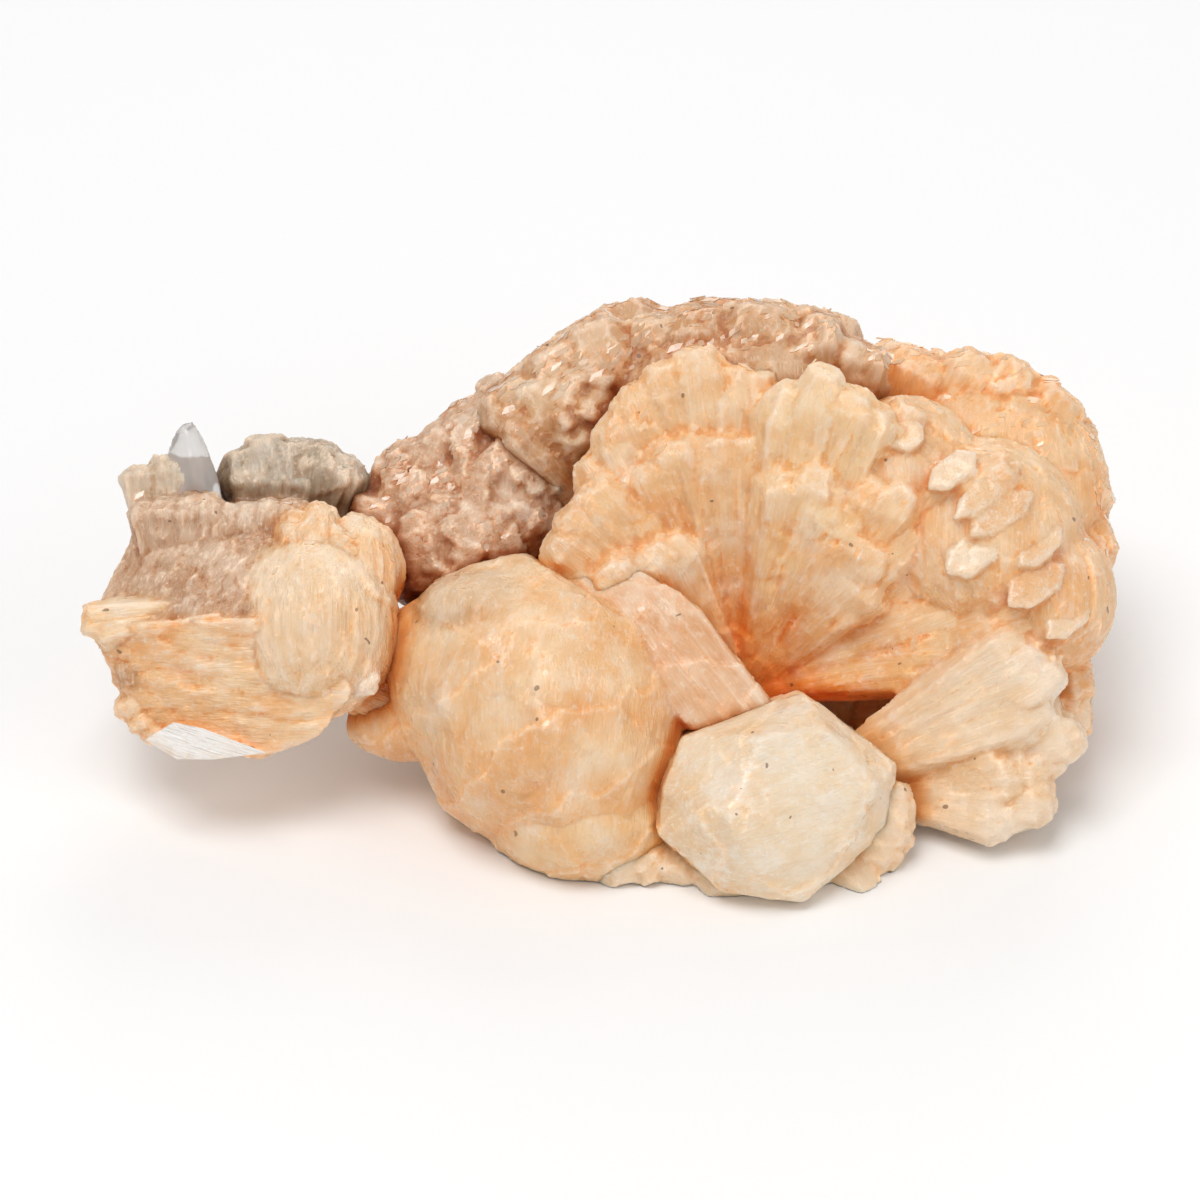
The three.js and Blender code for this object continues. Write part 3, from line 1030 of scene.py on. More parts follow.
@dataclass(frozen=True)
class ClearFinish:
    """Water-clear crystal with a faint grey tone."""

    name: str = "stilbite_clear"
    colour: Colour = (0.93, 0.91, 0.89)
    roughness: float = 0.2
    refraction: float = 1.5
    transmission: float = 0.65
    absorbed: Colour = (0.80, 0.80, 0.82)
    absorption: float = 20.0

    def material(self) -> bpy.types.Material:
        """Builds the material.

        Returns:
            The see-through material, with all its values on the shaders' own sockets.
        """
        made = bpy.data.materials.new(self.name)
        made.use_nodes = True
        surface = made.node_tree.nodes["Principled BSDF"]
        surface.inputs["Base Color"].default_value = (*self.colour, 1.0)
        surface.inputs["Roughness"].default_value = self.roughness
        surface.inputs["IOR"].default_value = self.refraction
        surface.inputs["Transmission Weight"].default_value = self.transmission
        inside = made.node_tree.nodes.new("ShaderNodeVolumeAbsorption")
        inside.inputs["Color"].default_value = (*self.absorbed, 1.0)
        inside.inputs["Density"].default_value = self.absorption
        end = made.node_tree.nodes["Material Output"]
        made.node_tree.links.new(inside.outputs[0], end.inputs["Volume"])
        return made


@dataclass(frozen=True)
class Glints:
    """Small flat crystals set into a surface. Lengths are in millimetres, angles in degrees."""

    seed: int
    density: float = 0.4
    length: float = 1.5
    width: float = 0.7
    thick: float = 0.5
    tilt: float = 9.0
    way: Point = (0.6, 0.5, 0.6)


class GlintRecipe(Recipe):
    """Sets small flat crystals into a dressed surface, each turned a little its own way. In metres."""

    def __init__(self) -> None:
        """Writes the tree."""
        super().__init__("glints")
        density = self.size("Density")
        size = self.size("Size", "Vector")
        tilt = self.size("Tilt")
        way = self.size("Way", "Vector")
        seed = self.size("Seed", "Int")
        finish = self.size("Finish", "Material")
        mass = self.start.outputs["Geometry"]
        clump = self.ramp(self.noise(self.position(), CLUMP_SCALE, 1.0), 0.42, 0.6)
        open_air = self.ramp(self.named("deep"), 0.4, 0.15)
        above = self.math("GREATER_THAN", self.parts(self.position())[2], 2 * MM)
        upward = self.ramp(self.parts(self.node("GeometryNodeInputNormal").outputs[0])[2], 0.1, 0.5)
        thick_set = self.times(self.times(density, clump), self.times(open_air, above))
        thick_set = self.times(thick_set, upward)
        scatter = {"Mesh": mass, "Density": thick_set, "Seed": seed}
        points = self.node("GeometryNodeDistributePointsOnFaces", scatter, distribute_method="RANDOM")
        aligned = self.node("FunctionNodeAlignRotationToVector", {"Vector": way}, axis="X", pivot_axis="Z")
        self.feed(aligned.inputs["Rotation"], points.outputs["Rotation"])
        lean = self.scaled(self.drawn((-1.0, -1.0, -3.0), (1.0, 1.0, 3.0), seed), tilt)
        lean = self.node("FunctionNodeEulerToRotation", {0: lean}).outputs[0]
        turn = self.node("FunctionNodeRotateRotation", {0: aligned.outputs[0], 1: lean},
                         rotation_space="LOCAL")
        scale = self.vector_math("MULTIPLY", size, self.drawn((0.5, 0.6, 0.8), (1.5, 1.4, 1.2), seed))
        block = self.node("GeometryNodeMeshCube", {"Size": (1.0, 1.0, 1.0)}).outputs[0]
        x, y, z = self.parts(self.position())
        sheared = self.vector(self.times_plus(y, GLINT_SHEAR, x), y, z)
        block = self.node("GeometryNodeSetPosition", {"Geometry": block, "Position": sheared}).outputs[0]
        inputs = {"Points": points.outputs["Points"], "Instance": block, "Rotation": turn.outputs[0],
                  "Scale": scale}
        grown = self.node("GeometryNodeInstanceOnPoints", inputs).outputs[0]
        whole = self.node("GeometryNodeRealizeInstances", {0: grown}).outputs[0]
        whole = self.store(whole, "gloss", 1.0)
        whole = self.store(whole, "edge", 0.0)
        self.close(self.node("GeometryNodeSetMaterial", {"Geometry": whole, "Material": finish}).outputs[0])

    def drawn(self, low: Point, high: Point, seed: Any) -> bpy.types.NodeSocket:
        """Draws a random vector for each crystal.

        Args:
            low: The lowest values.
            high: The highest values.
            seed: The seed.

        Returns:
            The vector's socket.
        """
        made = self.node("FunctionNodeRandomValue", data_type="FLOAT_VECTOR")
        made.inputs["Min"].default_value = low
        made.inputs["Max"].default_value = high
        self.feed(made.inputs["Seed"], seed)
        return made.outputs["Value"]

    def glints(self, skin: bpy.types.Object, plan: Glints, finish: bpy.types.Material) -> bpy.types.Object:
        """Grows the small crystals over a finished piece.

        Args:
            skin: The piece.
            plan: The crystals' sizes.
            finish: Their material.

        Returns:
            The crystals as an object with a plain mesh, in metres.
        """
        start = shown(skin.data, "start")
        size = Vector((plan.length, plan.width, plan.thick)) * MM
        mesh = self.grow(start, {
            "Density": plan.density / MM ** 2, "Size": size, "Tilt": math.radians(plan.tilt),
            "Way": standing().to_3x3() @ Vector(plan.way) / MM, "Seed": plan.seed, "Finish": finish,
        })
        bpy.data.objects.remove(start)
        return shown(mesh, "glints")


@dataclass(frozen=True)
class Tools:
    """The trees and helper objects that all the masses share."""

    sheaf: SheafRecipe
    burr: BurrRecipe
    surface: SurfaceRecipe
    glint: GlintRecipe
    block: bpy.types.Object


@dataclass
class Mass:
    """Crystals that have fused into one piece of the cluster. Fine sizes are in millimetres."""

    name: str = "mass"
    finish: StoneFinish = StoneFinish("stilbite")
    voxel: float = 0.34
    soften: int = 1
    striation: float = 0.45
    blade_size: float = 1.6
    blade_tilt: float = 0.16
    facet_size: float = 5.0
    facet_tilt: float = 0.2
    step_height: float = 0.0
    step_size: float = 5.0
    step_centre: Point = (0.0, 0.0, 0.0)
    wave: float = 0.15
    wave_size: float = 4.0
    reach: float = 9.0
    glints: Optional[Glints] = None
    rough: Optional[bpy.types.Object] = field(default=None, init=False)
    material: Optional[bpy.types.Material] = field(default=None, init=False)

    def sheaves(self) -> Sequence[Sheaf]:
        """Lists the sheaves that fuse into it."""
        return ()

    def lumps(self) -> Sequence[Lump]:
        """Lists the rounded masses that fuse into it."""
        return ()

    def burrs(self) -> Sequence[Burr]:
        """Lists the burrs that fuse into it."""
        return ()

    def crystals(self) -> Sequence[Crystal]:
        """Lists the single crystals that fuse into it."""
        return ()

    def crisp_sheaves(self) -> Sequence[Sheaf]:
        """Lists the blades that keep their sharp edges."""
        return ()

    def crisp_crystals(self) -> Sequence[Crystal]:
        """Lists the single crystals that keep their sharp edges."""
        return ()

    def grow(self, tools: Tools) -> None:
        """Grows the separate blades and lumps, still overlapping.

        Args:
            tools: The shared trees.
        """
        self.material = self.finish.material()
        parts = [tools.sheaf.sheaf(plan, self.material) for plan in self.sheaves()]
        parts += [tools.burr.burr(plan, self.material) for plan in self.burrs()]
        parts += [crystal_object(plan, self.material) for plan in self.crystals()]
        parts += [lump_object(plan, self.material) for plan in self.lumps()]
        self.rough = joined(parts, self.name + "_rough")
        self.rough.data.transform(standing())

    def fuse(self) -> bpy.types.Object:
        """Fuses the blades into one closed skin.

        Returns:
            The fused object.
        """
        fused = shown(self.rough.data.copy(), self.name + "_fused")
        remesh = fused.modifiers.new("Fuse", "REMESH")
        remesh.mode = "VOXEL"
        remesh.voxel_size = self.voxel * MM
        remesh.adaptivity = 0.0
        remesh.use_smooth_shade = True
        mesh = plain_mesh(fused)
        fused.modifiers.remove(remesh)
        fused.data = mesh
        return fused

    def dress(self, tools: Tools, around: bpy.types.Object) -> bpy.types.Object:
        """Raises the fine relief on the fused skin and cuts it off flat where the cluster rests.

        Args:
            tools: The shared trees.
            around: All the blades, for how shut in each place is.

        Returns:
            The skin, with a plain mesh.
        """
        fused = self.fuse()
        values = {name: getattr(self, name.lower().replace(" ", "_")) * MM for name in FINE_SIZES}
        values.update({"Soften": self.soften, "Rough": self.rough, "Around": around,
                       "Finish": self.material})
        values.update({"Blade size": self.blade_size, "Step centre": standing() @ Vector(self.step_centre)})
        fused.data = tools.surface.grow(fused, values)
        cut = fused.modifiers.new("Cut", "BOOLEAN")
        cut.operation = "DIFFERENCE"
        cut.solver = "MANIFOLD"
        cut.object = tools.block
        skin = shown(plain_mesh(fused), self.name)
        bpy.data.objects.remove(fused)
        return skin

    def crisp(self, tools: Tools) -> list[bpy.types.Object]:
        """Grows the crystals that keep their sharp edges.

        Args:
            tools: The shared trees.

        Returns:
            The crystals, in metres.
        """
        parts = [tools.sheaf.sheaf(plan, self.material) for plan in self.crisp_sheaves()]
        parts += [crystal_object(plan, self.material) for plan in self.crisp_crystals()]
        for part in parts:
            part.data.transform(standing())
            part.data.attributes["gloss"].data.foreach_set("value", [1.0] * len(part.data.vertices))
        return parts

    def build(self, tools: Tools, around: bpy.types.Object) -> None:
        """Finishes the mass and hands it over as a piece of the cluster.

        Args:
            tools: The shared trees.
            around: All the blades, for how shut in each place is.
        """
        parts = [self.dress(tools, around)]
        if self.glints:
            parts.append(tools.glint.glints(parts[0], self.glints, self.material))
        parts += self.crisp(tools)
        piece = joined(parts, self.name)
        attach(piece, "root")
        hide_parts("stilbite_cluster")
        piece.data.calc_loop_triangles()
        log.info("%s: %d triangles", self.name, len(piece.data.loop_triangles))


@dataclass
class Rosette(Mass):
    """The bowl of long blades that opens to the upper right, with its blunt right rim and lower fans."""

    name: str = "rosette"
    finish: StoneFinish = StoneFinish("stilbite_peach")
    facet_tilt: float = 0.12
    glints: Optional[Glints] = Glints(3, density=0.1, length=0.9, width=0.45, thick=0.14, tilt=3)
    bowl: Point = (14.5, -9.5, -8)
    fan: Point = (27, -19.5, -4)
    facet_depth: float = 6.0
    facets: tuple[tuple[Point, Point, float, float], ...] = (
        ((30.4, 16.4, 5.1), (-0.10, 0.38, 0.92), 4, 3.6),
        ((34.8, 13, 6.2), (-0.08, 0.42, 0.9), 7.4, 3.6),
        ((38.2, 11, 6.5), (0.04, 0.40, 0.92), 9.4, 3),
        ((39.6, 8.6, 6.8), (0.06, 0.34, 0.94), 9, 3.2),
        ((36.6, 4.6, 7.1), (-0.04, 0.28, 0.96), 8, 4.4),
        ((43.6, 5.4, 5.9), (0.16, 0.40, 0.9), 6.4, 3.2),
        ((43, 1.6, 6.3), (0.10, 0.36, 0.93), 8.4, 4),
        ((46.4, -1.8, 4.9), (0.20, 0.32, 0.93), 6, 3.2),
    )

    def sheaves(self) -> Sequence[Sheaf]:
        """Lists the petals, the lower blades and the two fans."""
        return (
            Sheaf(self.bowl, (-4.6, 9.4, 3.5), 1, blades=6, rows=2, width=7, thick=5, spread=18, lean=-6,
                  rise=-0.22),
            Sheaf(self.bowl, (0.5, 18.6, 2), 2, blades=3, width=7, thick=5, spread=9),
            Sheaf(self.bowl, (8.6, 25.2, 3.5), 3, blades=6, rows=2, width=7.4, thick=5, spread=15, lean=-5,
                  rise=-0.2, uneven=0.06),
            Sheaf(self.bowl, (18, 22, 1), 40, blades=3, width=6, thick=4, spread=8, uneven=0.06),
            Sheaf(self.bowl, (25, 22.5, 6.5), 4, blades=4, rows=2, width=7.4, thick=7, spread=10, lean=-4,
                  rise=-0.25, uneven=0.06, tint=Tint.YELLOW),
            Sheaf(self.bowl, (30.5, 12, 5), 5, blades=4, rows=2, width=7, thick=5, spread=11, lean=-4,
                  rise=-0.2),
            Sheaf(self.bowl, (35, 18.5, 3), 6, blades=3, width=8, thick=7, spread=8),
            Sheaf(self.bowl, (42.5, 12.5, 4.5), 7, blades=4, width=8, thick=8, spread=8),
            Sheaf(self.bowl, (46, 4.5, 3.5), 8, blades=4, width=8, thick=8, spread=8),
            Sheaf(self.bowl, (41.5, -0.5, 3), 9, blades=5, width=6.5, thick=6, spread=9),
            Sheaf(self.bowl, (40, -4.5, 2), 57, blades=3, width=6, thick=6, spread=5, tint=Tint.ORANGE),
            Sheaf((21, -19, -4), (45.4, -5.6, 4), 10, blades=4, width=6.4, thick=7, spread=8, base=1,
                  bow=0.8,
                  rounded=0.02, tint=Tint.PALE),
            Sheaf((34, -11.5, 0), (45.4, -5.8, 4.8), 58, blades=2, width=5.4, thick=5, spread=8,
                  tint=Tint.WHITE),
            Sheaf(self.fan, (48.4, -11.6, 1), 11, blades=5, width=5, thick=8, spread=9, base=1,
                  tint=Tint.PALE),
            Sheaf(self.fan, (45.6, -18.4, 1.5), 59, blades=6, rows=2, width=4.4, thick=7, spread=12, base=1,
                  lean=-5, rise=-0.14, tint=Tint.PALE),
            Sheaf((20, -12, -12), (51.5, -4.5, -5), 12, blades=5, width=8, thick=9, spread=15),
        ) + self.rim()

    def rim(self) -> tuple[Sheaf, ...]:
        """Lists the blunt crystals of the right rim, whose flat ends shine."""
        grown = []
        for number, (centre, way, width, thick) in enumerate(self.facets):
            root = tuple(Vector(centre) - Vector(way).normalized() * self.facet_depth)
            grown.append(Sheaf(root, centre, 50 + number, width=width, thick=thick, uneven=0, point=0.1,
                               top=0.92,
                               face=(-0.6, 0.8, 0), gloss=0.5))
        return tuple(grown)

    def lumps(self) -> Sequence[Lump]:
        """Lists the smooth swells of the right rim."""
        return (
            Lump((30.5, 12, -3), (8.4, 8.6, 8)),
            Lump((38.6, 6, -3), (10.2, 10.4, 10)),
            Lump((44.6, 0.2, -4), (7.4, 8, 9.6)),
        )


@dataclass
class OuterWall(Mass):
    """The back band, the right back lobe and the hidden back of the cluster."""

    name: str = "outer_wall"
    finish: StoneFinish = StoneFinish("stilbite_wall", cloud=0.25)
    voxel: float = 0.4
    facet_size: float = 3.5
    facet_tilt: float = 0.25
    glints: Optional[Glints] = Glints(5, density=0.8, length=1, width=0.5, thick=0.14, tilt=3)

    def sheaves(self) -> Sequence[Sheaf]:
        """Lists the fans of the band, of the lobe and of the back."""
        return (
            Sheaf((12, -6, -12), (9, 30.8, -2), 13, blades=8, rows=2, width=10, thick=9, spread=35, lean=14,
                  rounded=0.02, uneven=0.05, tint=Tint.TAN),
            Sheaf((22, -6, -16), (46.8, 22.2, -9), 14, blades=8, rows=2, width=9, thick=9, spread=30,
                  lean=14,
                  rounded=0.16, uneven=0.05),
            Sheaf((4, 4, -9), (-4.4, 24, -1), 15, blades=4, rows=2, width=5.6, thick=6, spread=22, lean=16,
                  tint=Tint.TAN),
            Sheaf((22, 8, -6), (24.5, 28, 0), 60, blades=4, rows=1, width=3.4, thick=5, spread=9, base=2,
                  tint=Tint.TAN),
            Sheaf((8, -4, -14), (-12, 14, -23), 36, blades=5, rows=2, width=8, thick=12, spread=24, lean=50,
                  rounded=0.1),
            Sheaf((14, -4, -14), (15, 22, -23), 37, blades=5, rows=3, width=10, thick=14, spread=34,
                  lean=64),
            Sheaf((22, -4, -14), (43, 8, -23), 38, blades=5, rows=2, width=9, thick=13, spread=26, lean=50,
                  rounded=0.1),
        )

    def lumps(self) -> Sequence[Lump]:
        """Lists the smooth masses of the band and the lobe, and the core behind the bowl."""
        return (
            Lump((13.5, 20.5, -5.5), (14.6, 8.6, 8.2), Tint.TAN),
            Lump((40, 11, -12), (12.4, 12.8, 9.4)),
            Lump((14, -6, -19), (26, 19, 12)),
            Lump((12, -20, -6), (14, 9, 10)),
        )

    def burrs(self) -> Sequence[Burr]:
        """Lists the knobbly swell at the band's left end."""
        return (
            Burr((-0.8, 19.5, -5), (6.6, 6.4, 6), 42, count=80, width=3.4, depth=4, stand=1, tilt=16,
                 point=0.7,
                 tint=Tint.TAN),
        )


@dataclass
class Crust(Mass):
    """The dull crust of small overlapping crystals left of the bowl."""

    name: str = "crust"
    finish: StoneFinish = StoneFinish("stilbite_crust", sparkle=0.5, cloud=0.4)
    facet_size: float = 2.5
    facet_tilt: float = 0.3
    glints: Optional[Glints] = Glints(7, density=1, length=0.7, width=0.45, thick=0.16, tilt=6)

    def sheaves(self) -> Sequence[Sheaf]:
        """Lists the fans under the crust."""
        return (
            Sheaf((2, 2, -15), (-13, 21.6, -8), 16, blades=6, width=5.4, thick=7, spread=22,
                  tint=Tint.DULL),
            Sheaf((0, 0, -14), (-20.5, 16.2, -7), 17, blades=5, width=5.2, thick=7, spread=16,
                  tint=Tint.DULL),
            Sheaf((0, -3, -13), (-25.5, 10.4, -7), 18, blades=5, width=5.2, thick=8, spread=15,
                  tint=Tint.DULL),
        )

    def burrs(self) -> Sequence[Burr]:
        """Lists the knobbly swells of the crust."""
        return (
            Burr((-9, 12, -10), (9.5, 9.5, 8), 44, count=130, width=4, depth=4, stand=0.9, tilt=20,
                 point=0.6,
                 tint=Tint.DULL),
            Burr((-15, 5.5, -9), (9.5, 7.5, 8), 45, count=110, width=4, depth=4, stand=0.9, tilt=20,
                 point=0.6,
                 tint=Tint.DULL),
            Burr((-17.5, 10.5, -10), (6.5, 6, 6), 46, count=60, width=4, depth=4, stand=0.9, tilt=20,
                 point=0.6,
                 tint=Tint.DULL),
        )


@dataclass
class FrontDome(Mass):
    """The smooth rounded dome in front, and the pinkish wedge between it and the bowl."""

    name: str = "front_dome"
    finish: StoneFinish = StoneFinish("stilbite_dome")
    soften: int = 5
    striation: float = 0.3
    blade_size: float = 4.0
    blade_tilt: float = 0.12
    facet_size: float = 9.0
    facet_tilt: float = 0.15
    step_height: float = 0.2
    step_size: float = 7.5
    step_centre: Point = (6, -30, 2)
    glints: Optional[Glints] = Glints(9, density=0.06, length=0.7, width=0.35, thick=0.12, tilt=3)
    outline: tuple[Point, ...] = (
        (-21, -1.5, 0), (-13, 3.6, 1), (-7.5, 4.6, 2), (-3, 2, 4), (3.6, -2.5, 5.5),
        (7.8, -9, 5.5), (8.4, -15, 4), (6, -24, 2.5), (2, -28.4, 0), (-4.5, -28, 0),
        (-10, -25, 0), (-15.8, -20.6, 0), (-17.4, -15, 0), (-21, -10.5, 0), (-21.4, -7, 0.5),
    )
    front: tuple[Point, ...] = (
        (-3, 1, 7), (-8.4, -1.2, 10), (-12, -4.4, 11), (-16, -9, 9), (1, -8, 11.2),
        (-5, -12, 13.2), (2.6, -16, 11), (-4, -21, 10.4), (-11, -18, 9.4), (3, -23, 7.6),
        (-3, -26, 5.6),
    )
    wedge: tuple[Point, ...] = (
        (-4, 3, 2), (4, 3, 3.4), (10, -1, 5.4), (14.6, -8.6, 6), (17, -10.4, 6.2),
        (9, -13, 6.6), (5.8, -9, 6.8), (0, -2, 5.2),
    )
    back: float = -9.0

    def crystals(self) -> Sequence[Crystal]:
        """Lists the dome's body and the wedge."""
        behind = tuple((x, y, self.back) for x, y, _ in self.outline)
        under = tuple((x, y, self.back) for x, y, _ in self.wedge)
        return (
            Crystal(self.outline + self.front + behind, Tint.PEACH, (0.2, 1, 0)),
            Crystal(self.wedge + under, Tint.PINK, (-0.6, 0.8, 0)),
        )

    def lumps(self) -> Sequence[Lump]:
        """Lists the swell of the front, the dull cap and the foot at the left."""
        return (
            Lump((-5.2, -11.6, -1), (12.6, 13.4, 13.7)),
            Lump((-11, -1.2, -0.2), (7.6, 4.4, 8.8), Tint.OCHRE),
            Lump((-1.5, -21.5, -1), (9.6, 7, 10.6), Tint.YELLOW),
            Lump((-20, -12.6, -5), (5.6, 3.6, 5), Tint.PEACH),
        )


@dataclass
class MilkyBlock(Mass):
    """The milky six-sided block at the front."""

    name: str = "milky_block"
    finish: StoneFinish = StoneFinish("stilbite_milky", cloud=0.75, cloud_colour=(0.92, 0.80, 0.66))
    soften: int = 2
    striation: float = 0.2
    blade_size: float = 5.0
    facet_size: float = 8.0
    facet_tilt: float = 0.2
    step_height: float = 0.2
    step_size: float = 4.0
    step_centre: Point = (12, -20, 0)
    outline: tuple[Point, ...] = (
        (8, -13.5, 7.5), (20, -9.2, 6), (29.4, -16.2, 4), (28.5, -22.5, 4), (24.4, -26.3, 4),
        (20, -29.8, 8), (12, -28.6, 8.5), (5.6, -23, 7), (6, -18.6, 8),
    )
    front: tuple[Point, ...] = (
        (15.8, -13.4, 12.6), (12.4, -21.2, 13.8), (15.6, -26.6, 11.4), (22, -12.6, 10.6), (27, -18.4, 9.4),
        (24, -23.6, 9.8),
    )
    back: float = -10.0

    def crystals(self) -> Sequence[Crystal]:
        """Lists the block."""
        behind = tuple((x, y, self.back) for x, y, _ in self.outline)
        return (Crystal(self.outline + self.front + behind, Tint.MILK, (0.95, 0.3, 0)),)


@dataclass
class Skirt(Mass):
    """The fan of blades that shows under the dome and the block."""

    name: str = "skirt"
    # Weaker painted shade in hollows and creases than on the other masses.
    finish: StoneFinish = StoneFinish("stilbite_skirt", depth=0.6)

    def sheaves(self) -> Sequence[Sheaf]:
        """Lists the lower fan and the fan right of the block."""
        return (
            Sheaf((12, -12, -9), (9.5, -29.4, 5.5), 25, blades=11, width=8, thick=6, spread=46,
                  rounded=-0.2,
                  tint=Tint.PALE),
            Sheaf((18, -15, -6), (30.4, -25.4, 3.5), 56, blades=5, rows=2, width=5.4, thick=6, spread=15,
                  lean=-8,
                  rise=-0.12, tint=Tint.PALE),
        )


@dataclass
class LeftSheaf(Mass):
    """The free-standing sheaf at the left, its pale dome, its plate painted white for the light thrown up
    from the floor, and the dull lobes behind it.
    """

    name: str = "left_sheaf"
    finish: StoneFinish = StoneFinish("stilbite_left", line_height=0.8)
    striation: float = 0.9
    facet_size: float = 6.0
    facet_tilt: float = 0.2
    wave: float = 0.5
    wave_size: float = 3.0
    glints: Optional[Glints] = Glints(11, density=0.1, length=0.8, width=0.4, thick=0.14, tilt=3)
    upper: tuple[Point, ...] = (
        (-51, -2.7, 2), (-47.4, 2.5, 0), (-46.2, 8.4, -2), (-43, 9.4, -2.5), (-30, 10.4, -2),
        (-27, 3, 6), (-30, -1, 7.4), (-40, -2.2, 6.3),
    )
    lower: tuple[Point, ...] = (
        (-50.6, -3.4, 2), (-46, -2.4, 4.8), (-38, -1.5, 7), (-28, -3, 8), (-24.4, -9, 6),
        (-28, -13.6, 4), (-34, -16, 2.5), (-40, -15.4, 1.5), (-44.4, -13, 1), (-46.6, -10.5, 1),
        (-48.6, -7.5, 1.5),
    )
    # Corners of the plate whose snow-white tint is painted light bounced up from the floor.
    plate: tuple[Point, ...] = (
        (-45.2, -13.9, 3.4), (-42.2, -12.1, 4.6), (-39.2, -12.7, 5.2), (-33, -15.1, 4.8),
        (-38.4, -15.8, 4.4),
        (-42, -15.8, 3.4), (-42, -13, 0), (-35, -15, 0),
    )
    back: float = -8.0
    back_taper: float = 0.94
    back_shift: float = -2.4

    def crystals(self) -> Sequence[Crystal]:
        """Lists the upper and the lower half of the sheaf."""
        bodies = []
        halves = ((self.upper, Tint.ROSE, (0.15, 1, 0)), (self.lower, Tint.PEACH, (1, 0.08, 0)))
        for corners, tint, along in halves:
            behind = tuple((x * self.back_taper + self.back_shift, y * self.back_taper, self.back)
                           for x, y, _ in corners)
            bodies.append(Crystal(corners + behind, tint, along))
        return bodies

    def crisp_crystals(self) -> Sequence[Crystal]:
        """Lists the plate along the lower edge, painted snow white for the light thrown up from the floor.
        """
        return (Crystal(self.plate, Tint.SNOW, (1, -0.3, 0)),)

    def crisp_sheaves(self) -> Sequence[Sheaf]:
        """Lists the bright facets at the lower right."""
        return (
            Sheaf((-27.5, -4.5, 3), (-24.6, -5.8, 5.4), 61, width=3.2, thick=3, uneven=0, point=0.15,
                  top=0.85),
            Sheaf((-28, -7.5, 2), (-26.4, -8.8, 5.6), 62, width=3.6, thick=2.4, uneven=0, point=0.15,
                  top=0.85),
        )

    def sheaves(self) -> Sequence[Sheaf]:
        """Lists the fans of both halves, the ridge between them, the lobes behind and the neck."""
        return (
            Sheaf((-38, -5, -3), (-37, 10.9, -0.5), 27, blades=9, width=4.4, thick=6, spread=14, base=6,
                  rounded=0,
                  uneven=0.08, tint=Tint.ROSE),
            Sheaf((-34, -6, -2), (-25.4, 8.8, 1), 28, blades=5, width=5.6, thick=9, spread=16),
            Sheaf((-34, -5, -3), (-49.2, -9.6, -0.5), 53, blades=9, width=3, thick=6, spread=30,
                  uneven=0.1),
            Sheaf((-28, 1, 3.6), (-52.4, -3, 2.2), 63, blades=3, width=2.6, thick=4.6, spread=5,
                  tint=Tint.YELLOW),
            Sheaf((-43, -7, -4), (-44, 15, -5), 29, blades=3, width=4.4, thick=6, spread=7, base=1.5,
                  uneven=0.03,
                  tint=Tint.BEIGE),
            Sheaf((-32, -2, -9), (-31, 17.2, -6), 31, blades=5, width=8, thick=8, spread=20, uneven=0.05,
                  tint=Tint.OLIVE),
            Sheaf((-32, -6, -4), (-16, -12, -4), 33, blades=3, width=5.4, thick=7, spread=10,
                  tint=Tint.PEACH),
            Sheaf((-26, -6, 0), (-22.4, -8.8, 4.6), 34, width=3.8, thick=3.4, tint=Tint.WHITE),
        )

    def lumps(self) -> Sequence[Lump]:
        """Lists the core, the pale dome and the rusty stain."""
        return (
            Lump((-38, -5, -3), (9, 6.5, 4.5)),
            Lump((-28.8, -2.4, -0.6), (9, 9.6, 9.2), Tint.PALE),
            Lump((-24.6, 2.6, -1.4), (5.2, 6, 5.4)),
            Lump((-46.4, -6, 1.9), (2, 2.8, 0.8), Tint.RUST),
        )


@dataclass
class ClearTip(Mass):
    """The small water-clear crystal that stands behind the left sheaf."""

    name: str = "clear_tip"
    finish: ClearFinish = ClearFinish()
    soften: int = 2
    striation: float = 0.1
    blade_tilt: float = 0.05
    facet_tilt: float = 0.05
    corners: tuple[Point, ...] = (
        (-43.8, 14.2, -3.4), (-43, 16.8, -3.2), (-42.2, 17.8, -3.4), (-41, 18, -3.6), (-40, 16.6, -3.4),
        (-38.4, 12.4, -3), (-37.6, 8, -3), (-43.6, 8, -3), (-41.6, 17.4, -2.4), (-40.6, 12, -1.6),
        (-43.4, 14, -6), (-41.6, 17.4, -5.6), (-38.8, 12, -6), (-38, 8, -6.6), (-43.2, 8, -6.6),
    )

    def crystals(self) -> Sequence[Crystal]:
        """Lists the one crystal."""
        return (Crystal(self.corners, Tint.SNOW),)


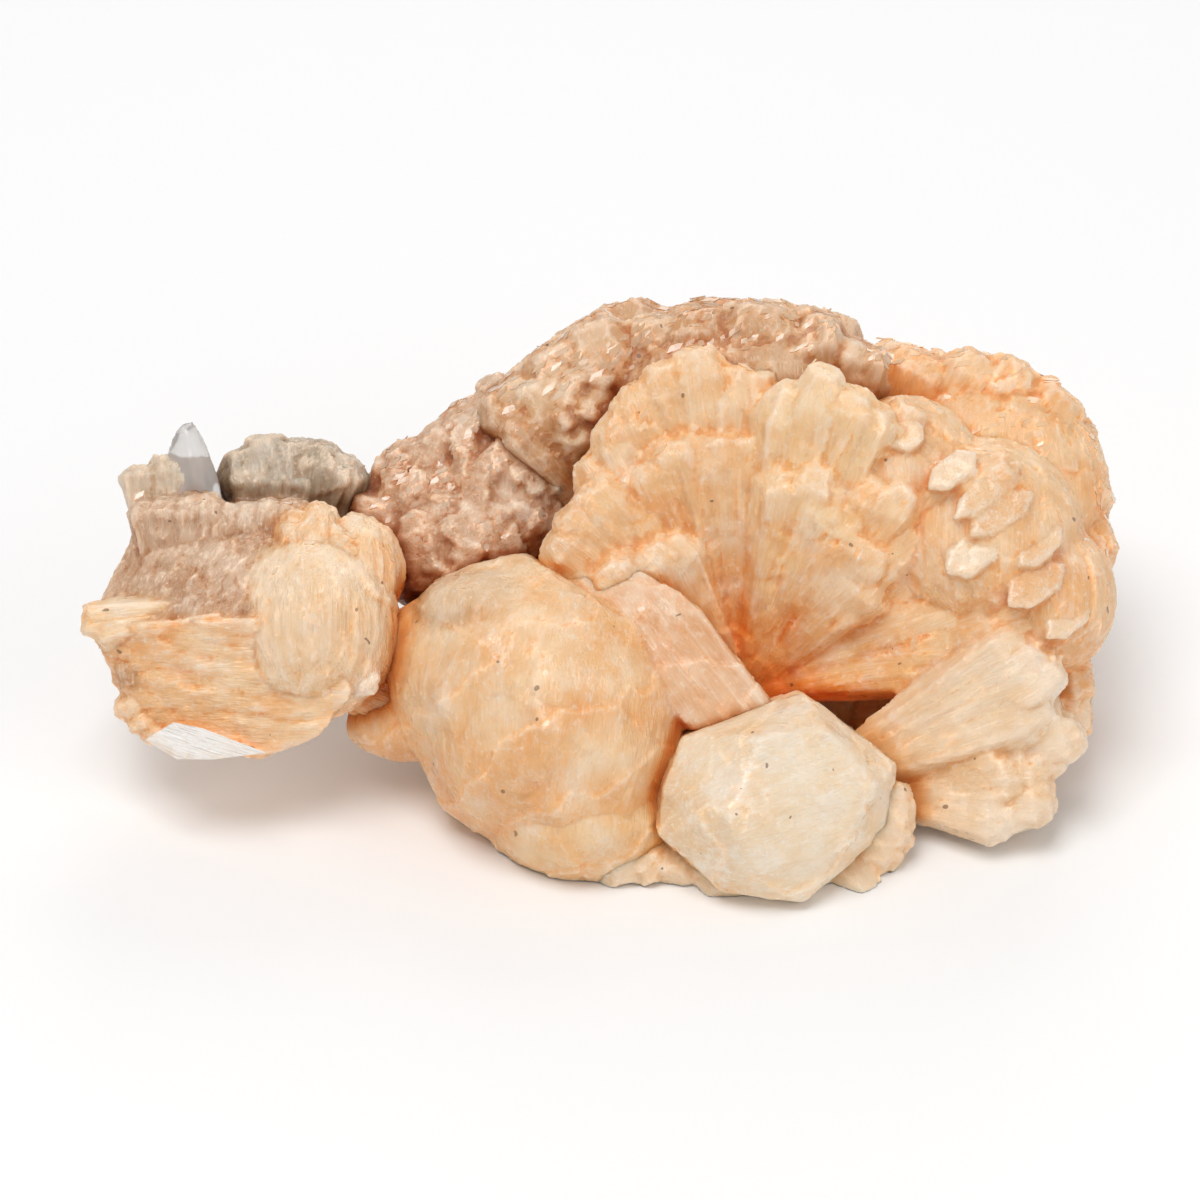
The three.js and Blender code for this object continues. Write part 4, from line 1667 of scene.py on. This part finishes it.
@dataclass
class Studio:
    """The floor, the lights and the camera. Lengths are in metres."""

    floor_span: float = 6.0
    floor_white: float = 0.97
    sky: float = 0.42
    target: Point = TARGET
    lamps: tuple[tuple[str, Point, float, float], ...] = (
        ("key", (-0.15, -0.2, 0.8), 0.45, 3.6),
        ("fill", (0.6, -0.5, 0.45), 0.6, 1.2),
        ("rim", (0.1, 0.7, 0.5), 0.5, 1.5),
    )

    def build_floor(self) -> None:
        """Lays a plain pale floor that fills the camera's view."""
        half = self.floor_span / 2
        mesh = bpy.data.meshes.new("studio_floor")
        corners = [(-half, -half, 0.0), (half, -half, 0.0), (half, half, 0.0), (-half, half, 0.0)]
        mesh.from_pydata(corners, [], [(0, 1, 2, 3)])
        floor = shown(mesh, "studio_floor")
        pale = bpy.data.materials.new("studio_floor")
        pale.use_nodes = True
        surface = pale.node_tree.nodes["Principled BSDF"]
        surface.inputs["Base Color"].default_value = (*[self.floor_white] * 3, 1.0)
        surface.inputs["Roughness"].default_value = 0.9
        mesh.materials.append(pale)

    def add_light(self, name: str, place: Point, width: float, watts: float) -> None:
        """Hangs one square soft light that points at the cluster.

        Args:
            name: The light's name.
            place: Where it hangs.
            width: Its side.
            watts: Its power.
        """
        lamp = bpy.data.lights.new(name, "AREA")
        lamp.shape = "SQUARE"
        lamp.size = width
        lamp.energy = watts
        thing = bpy.data.objects.new(name, lamp)
        aim = Vector(self.target) - Vector(place)
        thing.matrix_world = Matrix.Translation(Vector(place)) @ aim.to_track_quat("-Z",
                "Y").to_matrix().to_4x4()
        bpy.context.scene.collection.objects.link(thing)

    def build_lights(self) -> None:
        """Sets the soft key, the fills and the pale surroundings."""
        for name, place, width, watts in self.lamps:
            self.add_light(name, place, width, watts)
        world = bpy.data.worlds.new("studio")
        world.use_nodes = True
        world.node_tree.nodes["Background"].inputs[0].default_value = (1.0, 1.0, 1.0, 1.0)
        world.node_tree.nodes["Background"].inputs[1].default_value = self.sky
        bpy.context.scene.world = world
        bpy.context.scene.view_settings.view_transform = "Standard"

    def build_camera(self) -> None:
        """Places the camera at the photograph's viewing angle."""
        lens = bpy.data.cameras.new("camera")
        lens.lens = LENS
        lens.sensor_width = SENSOR
        lens.clip_start = 0.01
        camera = bpy.data.objects.new("camera", lens)
        back = Vector((0.0, -math.cos(VIEW_ELEVATION), math.sin(VIEW_ELEVATION))) * CAMERA_DISTANCE
        turn = Euler((math.radians(90) - VIEW_ELEVATION, 0.0, 0.0)).to_matrix().to_4x4()
        camera.matrix_world = Matrix.Translation(Vector(self.target) + back) @ turn
        bpy.context.scene.collection.objects.link(camera)
        bpy.context.scene.camera = camera


def cluster_masses() -> list[Mass]:
    """Lists the masses of the cluster.

    Returns:
        The masses, in the order they are built.
    """
    return [Rosette(), OuterWall(), Crust(), FrontDome(), MilkyBlock(), Skirt(), LeftSheaf(), ClearTip()]


def floor_block() -> bpy.types.Object:
    """Makes the block under the floor that cuts the masses flat."""
    block = bmesh.new()
    bmesh.ops.create_cube(block, size=0.4)
    mesh = bpy.data.meshes.new("floor_block")
    block.to_mesh(mesh)
    block.free()
    mesh.transform(Matrix.Translation((0.0, 0.0, REST_GAP * MM - 0.2)))
    return shown(mesh, "floor_block")


def build() -> None:
    """Builds the studio and the cluster."""
    studio = Studio()
    studio.build_camera()
    studio.build_floor()
    studio.build_lights()
    tools = Tools(SheafRecipe(), BurrRecipe(), SurfaceRecipe(), GlintRecipe(), floor_block())
    masses = cluster_masses()
    for mass in masses:
        mass.grow(tools)
    copies = [shown(mass.rough.data.copy(), "copy") for mass in masses]
    around = joined(copies, "around")
    for mass in masses:
        mass.build(tools, around)
    for thing in [around, tools.block] + [mass.rough for mass in masses]:
        bpy.data.objects.remove(thing)


if __name__ == "__main__":
    logging.basicConfig(level=logging.INFO, format="%(message)s")
    build()
